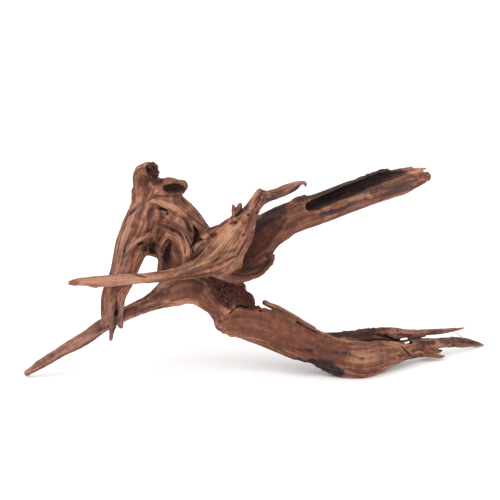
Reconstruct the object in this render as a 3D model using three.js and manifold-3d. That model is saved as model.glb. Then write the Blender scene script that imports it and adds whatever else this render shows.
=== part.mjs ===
// A piece of driftwood: one weathered root, grown as one solid and worn by water.
// Millimetres, +Z up. The piece stands on the plane Z = 0, seen best from -Y.
import * as THREE from "three";
import { mergeVertices } from "three/addons/utils/BufferGeometryUtils.js";
import Module from "manifold-3d";

// Driving dimensions
const LENGTH = 470; // overall length along X
const DRAWN_LENGTH = 469.7; // the length that the stations below are drawn at
const SCALE = LENGTH / DRAWN_LENGTH;
const RING_SPACING = 9; // between the rings of a limb
const SIDE_WIDTH = 7; // of one facet round a limb, about
const FEWEST_SIDES = 10;
const MOST_SIDES = 20;
const FLUTE_DEPTH = 0.045; // shallow flutes along every limb, as a share of its radius

// A station is [x, y, z, across, deep, roll]: a point of a limb's pith, its half-width across the
// view from -Y, its half-depth towards that view, and the section's turn about the pith in degrees.
const LIMBS = {
  // The trunk: a crown with a broken stub and a cupped knob, above a wishbone of two legs
  crown: [
    [-110, -4, 173, 15, 19, 0],
    [-111, -1, 185, 13, 16, 0],
    [-112, 1, 196, 14, 14, 0],
    [-109, 1, 206, 9, 9, 0],
  ],
  cup: [
    [-102, -8, 178, 12, 14, 0],
    [-90, -12, 185, 11.5, 12, 0],
    [-77, -15, 188, 9.5, 10, 0],
  ],
  leg: [
    [-106, -4, 172, 17, 20, 0],
    [-115, -8, 158, 17, 21, 0],
    [-119, -14, 144, 19, 19, 0],
    [-126, -21, 129, 16.5, 17, 0],
    [-131, -28, 114, 14, 14, 0],
    [-136, -35, 99, 12.5, 12, 0],
    [-142, -41, 83, 11.5, 10, 0],
    [-144, -44, 67, 10.5, 9, 0],
    [-145, -46, 54, 8, 7, 0],
  ],
  legTip: [
    [-144, -45, 61, 5, 6, 0],
    [-145, -47, 41, 2, 2, 0],
  ],
  web: [
    [-112, -12, 150, 15, 16, 0],
    [-103, -12, 138, 12, 15, 0],
    [-88, -12, 134, 12, 15, 0],
  ],
  arch: [
    [-99, -4, 174, 19, 20, 0],
    [-88, -6, 161, 20.5, 23, 0],
    [-78, -9, 142, 26, 24, 0],
    [-69, -12, 120, 30, 24, 0],
    [-63, -15, 100, 27, 23, 0],
  ],
  // The middle, with the long toe that reaches the ground on the left
  body: [
    [-98, -15, 78, 9, 10, 0],
    [-83, -16, 84, 17, 19, 0],
    [-63, -18, 88, 20, 23, 0],
    [-44, -19, 77, 19, 20, 0],
    [-28, -20, 59, 18, 16, 0],
  ],
  toe: [
    [-88, -16, 79, 14, 14, 0],
    [-110, -19, 70, 8.5, 9, 0],
    [-130, -23, 62, 7, 8, 0],
    [-153, -28, 51, 7, 7, 0],
    [-173, -33, 37, 7.5, 6.5, 0],
    [-195, -37, 26, 5.5, 6, 0],
    [-215, -41, 15, 5, 5, 0],
    [-233, -44, 3, 3.2, 3.4, 0],
  ],
  // The pointer, and the plate it fans out into in front of the hollow branch
  pointer: [
    [-186, -60, 102, 2.4, 2.6, 0],
    [-171, -62, 103, 3.6, 4, 0],
    [-155, -62, 104, 5, 5, 0],
    [-142, -62, 104, 6, 5.5, 0],
    [-124, -60, 105, 5, 5, 0],
    [-106, -58, 105, 5, 5, 0],
    [-89, -55, 106, 5.4, 5.5, 0],
    [-75, -52, 108, 7, 7, 0],
    [-55, -48, 113, 10.5, 8, 0],
    [-37, -44, 118, 14.5, 9, 0],
    [-24, -40, 122, 17.5, 9, 0],
  ],
  front: [
    [-36, -44, 116, 14, 9, 0],
    [-29, -41, 131, 18.5, 10, 0],
    [-18, -36, 147, 16.5, 10, 0],
    [-8, -31, 163, 11, 9, 0],
    [-2, -27, 176, 7, 7, 0],
    [1, -25, 187, 3.4, 3, 0],
  ],
  shoulder: [
    [-60, -28, 124, 7, 7, 0],
    [-52, -34, 133, 10, 9, 0],
    [-40, -36, 143, 12, 9, 0],
    [-24, -33, 157, 9, 8, 0],
  ],
  twig: [
    [-6, -27, 174, 7, 6, 0],
    [10, -22, 180, 5, 5, 0],
    [26, -18, 184, 4.6, 4, 0],
    [38, -14, 188, 3.2, 3, 0],
    [47, -12, 192, 1.8, 1.8, 0],
  ],
  spike: [
    [-19, -35, 160, 7, 6, 0],
    [-23, -33, 170, 4, 3, 0],
    [-21, -32, 176, 2.4, 2, 0],
  ],
  sill: [
    [-49, -48, 109, 6, 7, 0],
    [-30, -44, 103, 5, 7, 0],
    [-12, -36, 100, 3.5, 7, 0],
    [2, -26, 103, 3.5, 6, 0],
    [14, -16, 112, 3, 5, 0],
  ],
  // The hollow branch that climbs to the right, and the wood that joins it to the front plate
  septum: [
    [-42, -28, 104, 10, 16, 0],
    [-34, -26, 124, 12, 16, 0],
    [-24, -22, 146, 9, 14, 0],
    [-16, -18, 158, 5, 10, 0],
  ],
  branch: [
    [-42, -12, 97, 17, 14, 0],
    [-20, -8, 115, 20, 13, 0],
    [-5, -6, 130, 22, 14, 0],
    [10, -3, 144, 20, 15, 0],
    [32, 1, 155, 18, 15, 0],
    [62, 7, 162, 15.5, 15, 0],
    [92, 14, 171, 15.5, 15, 0],
    [120, 21, 179, 15.5, 14.5, 0],
    [145, 28, 184, 12, 12.5, 0],
    [163, 33, 186, 9.5, 10, 0],
    [171, 35, 187, 7, 8, 0],
  ],
  // The broad root that carries the piece on the right
  neck: [
    [-47, -12, 83, 21, 14, 0],
    [-30, -13, 73, 22, 14, 0],
    [-13, -16, 58, 19, 14, 0],
  ],
  plate: [
    [-36, -22, 50, 9, 9, 0],
    [-22, -25, 51, 17, 12, 0],
    [-2, -28, 50, 20, 12, 0],
    [24, -30, 41, 20.5, 13, 0],
    [52, -33, 30, 15.5, 13, 0],
    [78, -37, 19, 17, 13.5, 0],
    [98, -38, 16, 19, 14, 0],
    [123, -22, 17, 16, 13, 0],
    [149, -3, 16, 11, 11, 0],
    [175, 16, 14, 8, 8, 0],
  ],
  rind: [
    [-22, -6, 109, 14, 9, 0],
    [-4, -5, 110, 14, 9, 0],
    [8, -4, 112, 9, 8, 0],
    [16, -3, 111, 3.4, 4, 0],
  ],
  lip: [
    [8, -22, 67, 5, 5, 0],
    [26, -20, 58, 5, 5, 0],
    [46, -18, 45, 4, 5, 0],
    [64, -16, 35, 4, 5, 0],
  ],
  tip: [
    [148, 2, 16, 11, 9, 0],
    [177, 24, 13, 8, 6, 0],
    [205, 46, 10, 5.5, 4, 0],
    [233, 68, 2.6, 2.8, 2.8, 0],
  ],
  splinter: [
    [127, 4, 24, 9, 7, 0],
    [157, 18, 25, 6, 4, 0],
    [184, 33, 25, 3.5, 3, 0],
    [212, 47, 24, 1.6, 1.6, 0],
  ],
  prong: [
    [156, 4, 10, 5, 6, 0],
    [177, 10, 8, 3.5, 4, 0],
    [188, 13, 5, 1.6, 2, 0],
  ],
  backRidge: [
    [42, -12, 38, 6, 7, 0],
    [68, -9, 29, 6, 8, 0],
    [97, -4, 29, 7, 9, 0],
    [127, 4, 29, 9, 8, 0],
    [148, 12, 25, 7, 6, 0],
  ],
};

// Hollows that water and rot have opened, as stations too
const HOLLOWS = {
  channel: [
    [50, -6, 163, 4, 7, 0],
    [62, -4, 169, 7, 11, 0],
    [92, 3, 179, 8.5, 13, 0],
    [120, 10, 188, 8, 13, 0],
    [144, 18, 192, 7, 11, 0],
    [178, 28, 195, 5, 9, 0],
  ],
  shell: [
    [-14, -26, 112, 11, 12, 0],
    [-2, -22, 126, 16, 13, 0],
    [10, -20, 141, 13, 11, 0],
    [24, -17, 154, 7, 7, 0],
  ],
  cupMouth: [
    [-90, -27, 185, 9, 8, 0],
    [-80, -25, 190, 8, 7, 0],
  ],
  slit: [
    [-88, -32, 134, 2, 8, 0],
    [-93, -34, 120, 4, 13, 0],
    [-99, -34, 103, 4, 13, 0],
  ],
  fold: [
    [-84, -44, 138, 8, 12, 0],
    [-104, -44, 129, 8, 12, 0],
    [-118, -44, 118, 5, 8, 0],
  ],
  legSplit: [
    [-141, -55, 86, 1.6, 6, 0],
    [-141, -56, 74, 2.6, 8, 0],
    [-140, -57, 56, 2, 8, 0],
  ],
  rot: [
    [-46, -46, 98, 7, 9, 0],
    [-31, -45, 91, 12, 13, 0],
    [-14, -42, 79, 10, 13, 0],
    [3, -38, 71, 5, 9, 0],
  ],
  wormUpper: [
    [140, 6, 27, 1.4, 24, 0],
    [149, 8, 26.5, 1.4, 24, 0],
  ],
  wormLower: [
    [142, 6, 23.5, 1.2, 24, 0],
    [151, 8, 23, 1.2, 24, 0],
  ],
};

const wasm = await Module();
wasm.setup();

// The value at a share t of a list of numbers, joined by straight lines.
function between(values, t) {
  const place = t * (values.length - 1);
  const first = Math.min(Math.floor(place), values.length - 2);
  return THREE.MathUtils.lerp(values[first], values[first + 1], place - first);
}

// A limb's swell or dip at an angle round it and a distance along it.
function flute(angle, along) {
  const broad = Math.sin(3 * angle + along / 23);
  const narrow = Math.sin(4 * angle - along / 17);
  return 1 + FLUTE_DEPTH * (broad + 0.6 * narrow);
}

// A closed solid swept through a limb's stations.
function limbSolid(stations) {
  const pith = new THREE.CatmullRomCurve3(stations.map(([x, y, z]) => new THREE.Vector3(x, y, z)));
  const length = pith.getLength();
  const widest = Math.max(...stations.map(([, , , across, deep]) => (across + deep) / 2));
  const sides = THREE.MathUtils.clamp(
    2 * Math.round((Math.PI * widest) / SIDE_WIDTH), FEWEST_SIDES, MOST_SIDES);
  const rings = Math.max(3, Math.round(length / RING_SPACING));
  const shape = new THREE.CylinderGeometry(1, 1, 1, sides, rings);
  const place = shape.getAttribute("position");
  const away = new THREE.Vector3(0, 1, 0);
  for (let i = 0; i < place.count; i += 1) {
    const t = place.getY(i) + 0.5;
    const along = pith.getTangent(t);
    const side = new THREE.Vector3().crossVectors(along, away).normalize();
    const depth = new THREE.Vector3().crossVectors(side, along);
    const roll = THREE.MathUtils.degToRad(between(stations.map((s) => s[5]), t));
    side.applyAxisAngle(along, roll);
    depth.applyAxisAngle(along, roll);
    const swell = flute(Math.atan2(place.getZ(i), place.getX(i)), t * length);
    const point = pith.getPoint(t);
    point.addScaledVector(side, place.getX(i) * swell * between(stations.map((s) => s[3]), t));
    point.addScaledVector(depth, place.getZ(i) * swell * between(stations.map((s) => s[4]), t));
    place.setXYZ(i, point.x, point.y, point.z);
  }
  return solidOf(shape);
}

// A manifold-3d solid from a closed geometry.
function solidOf(geometry) {
  const bare = geometry.clone();
  bare.deleteAttribute("normal");
  bare.deleteAttribute("uv");
  const merged = mergeVertices(bare, 1e-4);
  return new wasm.Manifold(new wasm.Mesh({
    numProp: 3,
    vertProperties: merged.getAttribute("position").array,
    triVerts: new Uint32Array(merged.index.array),
  }));
}

let wood = null;
for (const stations of Object.values(LIMBS)) {
  const limb = limbSolid(stations);
  wood = wood ? wood.add(limb) : limb;
}
for (const stations of Object.values(HOLLOWS)) {
  wood = wood.subtract(limbSolid(stations));
}
const ground = new THREE.BoxGeometry(2 * LENGTH, LENGTH, 100);
ground.translate(0, 0, -50);
wood = wood.subtract(solidOf(ground));

const cut = wood.getMesh();
const geometry = new THREE.BufferGeometry();
geometry.setAttribute("position", new THREE.BufferAttribute(new Float32Array(cut.vertProperties), 3));
geometry.setIndex(new THREE.BufferAttribute(new Uint32Array(cut.triVerts), 1));
geometry.scale(SCALE, SCALE, SCALE);
geometry.computeVertexNormals();
const driftwood = new THREE.Mesh(
  geometry,
  new THREE.MeshStandardMaterial({ color: 0x8a5a45, roughness: 0.85, metalness: 0 }),
);
driftwood.name = "driftwood";
const group = new THREE.Group();
group.add(driftwood);
export default group;
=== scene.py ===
"""A piece of driftwood: one weathered root standing on three feet on a pale floor.

The wood is grown in the way that it reads: limbs swept through stations are melted into one
body, hollows that water and rot have opened are carved out of it, and the skin is then raised
and sunk along the grain. Lengths are millimetres, until a mesh is made of them.
"""

import logging
import math
from collections.abc import Callable, Iterator
from dataclasses import dataclass, field
from enum import Enum
from functools import cached_property

import bpy
import numpy as np
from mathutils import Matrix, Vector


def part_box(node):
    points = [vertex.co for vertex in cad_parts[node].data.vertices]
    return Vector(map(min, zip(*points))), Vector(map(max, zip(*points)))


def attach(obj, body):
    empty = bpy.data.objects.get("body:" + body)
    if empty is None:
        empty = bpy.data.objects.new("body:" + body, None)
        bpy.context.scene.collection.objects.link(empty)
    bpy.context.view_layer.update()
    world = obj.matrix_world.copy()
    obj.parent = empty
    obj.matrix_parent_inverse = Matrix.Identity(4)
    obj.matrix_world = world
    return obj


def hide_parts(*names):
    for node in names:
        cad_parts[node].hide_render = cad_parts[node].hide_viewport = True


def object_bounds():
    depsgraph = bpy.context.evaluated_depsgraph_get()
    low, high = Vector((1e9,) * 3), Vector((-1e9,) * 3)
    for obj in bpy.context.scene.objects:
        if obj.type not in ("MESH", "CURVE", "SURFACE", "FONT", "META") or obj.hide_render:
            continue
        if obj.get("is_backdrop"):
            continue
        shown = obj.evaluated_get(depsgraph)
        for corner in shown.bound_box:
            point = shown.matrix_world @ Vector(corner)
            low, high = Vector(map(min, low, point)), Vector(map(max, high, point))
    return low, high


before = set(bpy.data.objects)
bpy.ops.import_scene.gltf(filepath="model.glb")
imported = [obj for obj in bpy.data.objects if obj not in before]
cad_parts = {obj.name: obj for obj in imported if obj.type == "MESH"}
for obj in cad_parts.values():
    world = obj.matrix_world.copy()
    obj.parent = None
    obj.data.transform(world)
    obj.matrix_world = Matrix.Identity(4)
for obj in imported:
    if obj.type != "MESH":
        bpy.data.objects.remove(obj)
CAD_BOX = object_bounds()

import openvdb
from mathutils import Vector

LOG = logging.getLogger("driftwood")
DRAWN_LENGTH = 469.7  # the length from toe to tip that the stations are drawn at
FINE_CELL = 0.8
SECTION_GAP = 4.0  # greatest distance between two sections of a limb
FAINT = 1e-6  # keeps a division from meeting nothing
FAR = 1e9


class Mark(Enum):
    """What a patch of the wood's skin shows."""

    CHAR = "char"  # black and purple stain
    RAW = "raw"  # dark red, soft, rotten wood
    PALE = "pale"  # bleached, rubbed yellow
    CRUMB = "crumb"  # skin that has crumbled into small lumps
    GREY = "grey"  # washed, greyish wood
    SMOOTH = "smooth"  # skin worn smooth, warm and red
    GNARL = "gnarl"  # knotted and folded grain


def blend(values: np.ndarray, base: np.ndarray, part: np.ndarray) -> np.ndarray:
    """Reads a block of values between its cells.

    Args:
        values: The block.
        base: The cell that each place lies in, (..., 3); past the block's end it starts again.
        part: How far through that cell each place lies, (..., 3), from 0 to 1.

    Returns:
        One value for each place.
    """
    total = np.zeros(base.shape[:-1], np.float32)
    ends = base % values.shape, (base + 1) % values.shape
    shares = 1 - part, part
    for i, j, k in np.ndindex(2, 2, 2):
        share = shares[i][..., 0] * shares[j][..., 1] * shares[k][..., 2]
        total += share * values[ends[i][..., 0], ends[j][..., 1], ends[k][..., 2]]
    return total


@dataclass(frozen=True)
class Noise:
    """Smooth random values on a repeating lattice.

    Attributes:
        seed: Which lattice is drawn.
        cells: Lattice points along each side.
    """

    seed: int
    cells: int = 48

    @cached_property
    def lattice(self) -> np.ndarray:
        """The lattice's values, from -1 to 1."""
        rng = np.random.default_rng(self.seed)
        return rng.uniform(-1, 1, (self.cells,) * 3).astype(np.float32)

    def at(self, points: np.ndarray) -> np.ndarray:
        """Reads the noise.

        Args:
            points: Places, (..., 3), in lattice cells.

        Returns:
            One value from -1 to 1 for each place.
        """
        base = np.floor(points)
        part = (points - base).astype(np.float32)
        return blend(self.lattice, base.astype(np.int64), part * part * (3 - 2 * part))

    def layered(self, points: np.ndarray, layers: int, gain: float) -> np.ndarray:
        """Adds finer and weaker layers of the noise.

        Args:
            points: Places, (..., 3), in lattice cells.
            layers: How many layers.
            gain: Strength of each layer over the one before.

        Returns:
            One value, about -1 to 1, for each place.
        """
        finer, apart = 2.03, 7.3
        strengths = [gain**layer for layer in range(layers)]
        total = np.zeros(points.shape[:-1], np.float32)
        for layer, strength in enumerate(strengths):
            total += strength * self.at(points * finer**layer + apart * layer)
        return total / sum(strengths)


def smooth_step(low: float, high: float, value: np.ndarray) -> np.ndarray:
    """Eases a value from 0 at low to 1 at high."""
    t = np.clip((value - low) / (high - low), 0, 1)
    return t * t * (3 - 2 * t)


def oval(offset: tuple[np.ndarray, ...], sizes: tuple) -> np.ndarray:
    """Measures about how far places lie from an oval's skin.

    Args:
        offset: The places from its middle, along its three axes.
        sizes: Its half-sizes along those axes.

    Returns:
        The signed distances, negative inside.
    """
    reduced = [place / size for place, size in zip(offset, sizes)]
    k0 = np.sqrt(sum(value * value for value in reduced)) + FAINT
    k1 = np.sqrt(sum((value / size) ** 2 for value, size in zip(reduced, sizes))) + FAINT
    return k0 * (k0 - 1) / k1


@dataclass
class Limb:
    """A tapering limb, or a hollow of the same form.

    Attributes:
        stations: Rows of x, y, z, across and deep: a point of the pith, the half-width across
            the view from -Y, and the half-depth towards that view.
        melt: How far the limb melts into what it meets.
        roll: The sections' turn about the pith, in degrees.
    """

    stations: tuple[tuple[float, ...], ...]
    melt: float = 7.0
    roll: float = 0.0

    @cached_property
    def sections(self) -> dict[str, np.ndarray]:
        """The limb's sections: centres, directions and half-sizes."""
        rows = np.array(self.stations, float)
        points, sizes = rows[:, :3], rows[:, 3:]
        chord = np.r_[0, np.cumsum(np.linalg.norm(np.diff(points, axis=0), axis=1))]
        gap = min(SECTION_GAP, max(1.0, 0.45 * sizes.mean()))
        at = np.linspace(0, chord[-1], max(2, math.ceil(chord[-1] / gap)) + 1)
        centre = self.curve(at, chord, points)
        along = np.gradient(centre, axis=0)
        along /= np.linalg.norm(along, axis=1, keepdims=True)
        side = np.cross(along, (0.0, 1.0, 0.0))
        side /= np.linalg.norm(side, axis=1, keepdims=True)
        cos, sin = math.cos(math.radians(self.roll)), math.sin(math.radians(self.roll))
        return {
            "centre": centre,
            "along": along,
            "side": side * cos + np.cross(side, along) * sin,
            "size": np.stack([np.interp(at, chord, sizes[:, k]) for k in range(2)], 1),
        }

    @staticmethod
    def curve(at: np.ndarray, chord: np.ndarray, points: np.ndarray) -> np.ndarray:
        """Draws a smooth curve through points.

        Args:
            at: Where along the chord to read the curve.
            chord: The points' distances along the chord.
            points: The points, (n, 3).

        Returns:
            The curve's places, (len(at), 3).
        """
        slopes = np.gradient(points, chord, axis=0)
        cell = np.clip(np.searchsorted(chord, at, "right") - 1, 0, len(chord) - 2)
        span = (chord[cell + 1] - chord[cell])[:, None]
        t = (at - chord[cell])[:, None] / span
        first = (1 + 2 * t) * (1 - t) ** 2 * points[cell]
        last = t**2 * (3 - 2 * t) * points[cell + 1]
        rise = t * (1 - t) ** 2 * span * slopes[cell]
        fall = t**2 * (t - 1) * span * slopes[cell + 1]
        return first + last + rise + fall

    def bounds(self, reach: float, pick: slice = slice(None)) -> tuple[np.ndarray, np.ndarray]:
        """Boxes the limb.

        Args:
            reach: How far past its skin the box goes.
            pick: Which of its sections to box.

        Returns:
            The box's lowest and highest corners.
        """
        centre = self.sections["centre"][pick]
        spread = self.sections["size"][pick].max(1, keepdims=True) + reach
        return (centre - spread).min(0), (centre + spread).max(0)

    def measure(self, j: int, offset: tuple[np.ndarray, ...]) -> tuple[np.ndarray, np.ndarray]:
        """Measures from one stretch of the limb, between sections j and j + 1.

        Args:
            j: The stretch.
            offset: The places less section j's centre: three arrays of one shape.

        Returns:
            The signed distance to the limb's skin and the share along the stretch.
        """
        s = self.sections
        axis = s["centre"][j + 1] - s["centre"][j]
        length = float(np.linalg.norm(axis))
        axis = axis / length
        side = s["side"][j] - axis * np.dot(s["side"][j], axis)
        side /= np.linalg.norm(side)
        depth = np.cross(side, axis)
        rise, across, deep = (sum(v * way for v, way in zip(offset, ways)) for ways in (axis, side, depth))
        t = np.clip(rise / length, 0, 1)
        wide, thick = (first + (last - first) * t for first, last in zip(*s["size"][j : j + 2]))
        return oval((across, deep, rise - t * length), (wide, thick, np.minimum(wide, thick))), t

    def parts(self, reach: float) -> Iterator[tuple[tuple, np.ndarray, Callable]]:
        """Goes through the limb's stretches."""
        for j, start in enumerate(self.sections["centre"][:-1]):
            yield self.bounds(reach, slice(j, j + 2)), start, lambda offset, j=j: self.measure(j, offset)[0]


@dataclass
class Spot:
    """A round or oval place on the wood: a pit, a knot or a lump.

    Attributes:
        centre: Its middle.
        sizes: Half-sizes across the view, towards it and upright.
        turn: Turn in degrees about the line of sight, anticlockwise as seen.
    """

    centre: tuple[float, float, float]
    sizes: tuple[float, float, float]
    turn: float = 0.0

    def bounds(self, reach: float) -> tuple[np.ndarray, np.ndarray]:
        """Boxes the spot."""
        spread = max(self.sizes) + reach
        return np.array(self.centre) - spread, np.array(self.centre) + spread

    def distance(self, offset: tuple[np.ndarray, ...]) -> np.ndarray:
        """Measures the signed distance to the spot's skin.

        Args:
            offset: The places less the centre: three arrays of one shape.

        Returns:
            The distances.
        """
        cos, sin = math.cos(math.radians(self.turn)), math.sin(math.radians(self.turn))
        x, y, z = offset
        return oval((x * cos + z * sin, y, z * cos - x * sin), self.sizes)

    def parts(self, reach: float) -> Iterator[tuple[tuple, np.ndarray, Callable]]:
        """Gives the spot as a form of one part."""
        yield self.bounds(reach), np.array(self.centre, float), self.distance


@dataclass
class Grid:
    """A block of even cells in space.

    Attributes:
        low: Its lowest corner.
        high: Its highest corner.
        cell: Size of a cell.
    """

    low: np.ndarray
    high: np.ndarray
    cell: float

    @cached_property
    def shape(self) -> np.ndarray:
        """How many cells there are along each axis."""
        return np.ceil((self.high - self.low) / self.cell).astype(int) + 1

    def window(self, low: np.ndarray, high: np.ndarray) -> tuple[slice, ...]:
        """Finds the cells of a box.

        Args:
            low: The box's lowest corner.
            high: The box's highest corner.

        Returns:
            Three slices of the grid.
        """
        first = np.clip(np.floor((low - self.low) / self.cell).astype(int), 0, self.shape)
        last = np.clip(np.ceil((high - self.low) / self.cell).astype(int) + 1, 0, self.shape)
        return tuple(slice(a, b) for a, b in zip(first, last))

    def places(self, window: tuple[slice, ...], sparse: bool = False) -> list[np.ndarray]:
        """Gives the places of a window's cells."""
        lines = [low + self.cell * np.arange(part.start, part.stop) for low, part in zip(self.low, window)]
        return np.meshgrid(*lines, indexing="ij", sparse=sparse)


@dataclass
class WoodField(Grid):
    """The wood's body, as signed distances on a grid of cells.

    Attributes:
        reach: The farthest distance that is kept.
        values: The distances.
    """

    reach: float = 12.0
    values: np.ndarray = field(init=False)

    def __post_init__(self) -> None:
        """Makes an empty field."""
        self.values = np.full(self.shape, self.reach, np.float32)

    def measure(self, form: Limb | Spot, reach: float) -> tuple[tuple[slice, ...], np.ndarray]:
        """Measures the distances to a form.

        Args:
            form: The form.
            reach: How far from its skin to measure.

        Returns:
            The window round the form and the distances in it.
        """
        whole = self.window(*form.bounds(reach))
        found = np.full(self.values[whole].shape, self.reach, np.float32)
        for box, start, distance in form.parts(reach):
            part = self.window(*box)
            offset = [v.astype(np.float32) - start[k] for k, v in enumerate(self.places(part, sparse=True))]
            inner = tuple(slice(p.start - w.start, p.stop - w.start) for p, w in zip(part, whole))
            found[inner] = np.minimum(found[inner], distance(offset))
        return whole, found

    def add(self, form: Limb | Spot, melt: float, reach: float) -> None:
        """Melts a form into the wood.

        Args:
            form: The form.
            melt: How far it melts in.
            reach: How far from its skin it is felt.
        """
        window, near = self.measure(form, reach)
        here = self.values[window]
        lap = np.maximum(melt - np.abs(here - near), 0) / melt
        self.values[window] = np.minimum(here, near) - lap * lap * melt / 4

    def carve(self, form: Limb | Spot, melt: float) -> None:
        """Carves a form out of the wood.

        Args:
            form: The hollow.
            melt: How rounded the cut's edge is.
        """
        window, near = self.measure(form, self.reach / 2)
        here, away = self.values[window], -near
        lap = np.maximum(melt - np.abs(here - away), 0) / melt
        self.values[window] = np.maximum(here, away) + lap * lap * melt / 4

    def crumble(self, spot: Spot, depth: float, grain: float, noise: Noise) -> None:
        """Breaks the skin into crumbs.

        Args:
            spot: Where.
            depth: How deep the crumbs are.
            grain: The size of a crumb.
            noise: The pattern.
        """
        outer, inner = 2.0, -3.0
        window, near = self.measure(spot, 2 * outer)
        weight = smooth_step(outer, inner, near)
        places = np.stack(self.places(window), -1) / grain
        self.values[window] += weight * depth * noise.layered(places, 2, 0.6)

    def stand(self) -> None:
        """Wears the feet flat on the ground."""
        z = self.low[2] + self.cell * np.arange(self.values.shape[2], dtype=np.float32)
        self.values = np.maximum(self.values, -z[None, None, :])

    def read(self, points: np.ndarray) -> np.ndarray:
        """Reads the field between its cells.

        Args:
            points: Places, (n, 3).

        Returns:
            The distance at each place.
        """
        place = np.clip((points - self.low) / self.cell, 0, self.shape - 1.001)
        base = place.astype(np.int64)
        return blend(self.values, base, (place - base).astype(np.float32))

    def skin(self) -> tuple[np.ndarray, np.ndarray]:
        """Draws the skin as quads and keeps its largest piece.

        Returns:
            The points, (n, 3), and the quads, (m, 4).
        """
        grid = openvdb.FloatGrid(float(self.reach))
        grid.copyFromArray(np.ascontiguousarray(self.values))
        points, quads = grid.convertToQuads(0.0)
        points = points.astype(float) * self.cell + self.low
        quads = quads.astype(np.int64)
        label, settled = np.arange(len(points)), False
        while not settled:
            least = label[quads].min(1)
            fresh = label.copy()
            for corner in range(4):
                np.minimum.at(fresh, quads[:, corner], least)
            fresh = fresh[fresh]
            settled = bool((fresh == label).all())
            label = fresh
        keep = label == np.bincount(label).argmax()
        number = np.cumsum(keep) - 1
        return points[keep], number[quads[keep[quads].all(1)]]


@dataclass
class GrainFlow(Grid):
    """The way the wood's fibres run, on a coarse grid.

    Attributes:
        cell: Size of a cell.
        hold: How far past a limb's skin it still guides the fibres.
        fade: How fast that hold fades away from its skin.
        knot_pull: How strongly a knot of strength 1 bends the fibres round itself.
        knot_reach: How far its pull goes, over its own size.
        knot_room: How far past a knot its pull is worked out.
        stride: How far one step goes along a fibre.
        ways: The fibres' direction in each cell; its sign means nothing.
    """

    cell: float = 2.0
    hold: float = 9.0
    fade: float = 2.2
    knot_pull: float = 6.0
    knot_reach: float = 1.5
    knot_room: float = 12.0
    stride: float = 1.4
    ways: np.ndarray = field(init=False)

    def follow(self, limbs: list[Limb], knots: list[tuple[Spot, float]]) -> None:
        """Runs the fibres along the limbs and round the knots.

        Args:
            limbs: The limbs.
            knots: Each knot and how strongly it bends the fibres.
        """
        pull = np.zeros((*self.shape, 3, 3), np.float32)
        pull[..., 0, 0] = FAINT
        for limb in limbs:
            window = self.window(*limb.bounds(self.hold))
            places = np.stack(self.places(window), -1)
            centre, heading = limb.sections["centre"], limb.sections["along"]
            best = np.full(places.shape[:-1], FAR)
            way = np.zeros_like(places)
            for j in range(len(centre) - 1):
                found, t = limb.measure(j, tuple(np.moveaxis(places - centre[j], -1, 0)))
                closer = found < best
                best[closer] = found[closer]
                along = heading[j] * (1 - t[..., None]) + heading[j + 1] * t[..., None]
                way[closer] = along[closer]
            share = np.exp(-np.clip(best, -1, 30) / self.fade)[..., None, None]
            pull[window] += share * way[..., :, None] * way[..., None, :]
        for knot, strength in knots:
            window = self.window(*knot.bounds(self.knot_room))
            offset = np.stack(self.places(window), -1) - np.array(knot.centre)
            away = np.linalg.norm(offset, axis=-1, keepdims=True) + FAINT
            round_it = np.stack([-offset[..., 2], 0 * offset[..., 1], offset[..., 0]], -1) / away
            radius = self.knot_reach * (knot.sizes[0] + knot.sizes[2]) / 2
            share = self.knot_pull * strength * np.exp(-((away / radius) ** 2))[..., None]
            pull[window] += share * round_it[..., :, None] * round_it[..., None, :]
        self.ways = np.linalg.eigh(pull)[1][..., 2].astype(np.float32)

    def way(self, places: np.ndarray) -> np.ndarray:
        """Reads the fibres' direction.

        Args:
            places: Places, (n, 3).

        Returns:
            The directions, (n, 3); their sign means nothing.
        """
        index = np.rint((places - self.low) / self.cell).astype(np.int64)
        index = np.clip(index, 0, self.shape - 1)
        return self.ways[index[:, 0], index[:, 1], index[:, 2]]

    def smear(self, points: np.ndarray, layers: list[tuple[Noise, float, int, int]]) -> np.ndarray:
        """Draws noise out along the fibres.

        Args:
            points: Where to read it, (n, 3).
            layers: For each layer its noise, the noise's size, how many steps to draw it out
                and how many steps lie between two readings.

        Returns:
            The layers' values, (n, layers), each with a mean of 0 and a deviation of 1.
        """
        total = np.stack([noise.at(points / size) for noise, size, _, _ in layers], 1)
        for sign in (1.0, -1.0):
            place, heading = points.astype(np.float32), None
            for step in range(1, max(layer[2] for layer in layers) + 1):
                way = self.way(place)
                turn = sign if heading is None else np.sign((way * heading).sum(1) + 1e-9)[:, None]
                heading = way * turn
                place = place + self.stride * heading
                for k, (noise, size, steps, every) in enumerate(layers):
                    if step <= steps and step % every == 0:
                        total[:, k] += (1 - step / (steps + 2)) * noise.at(place / size)
        return (total - total.mean(0)) / total.std(0)


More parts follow.
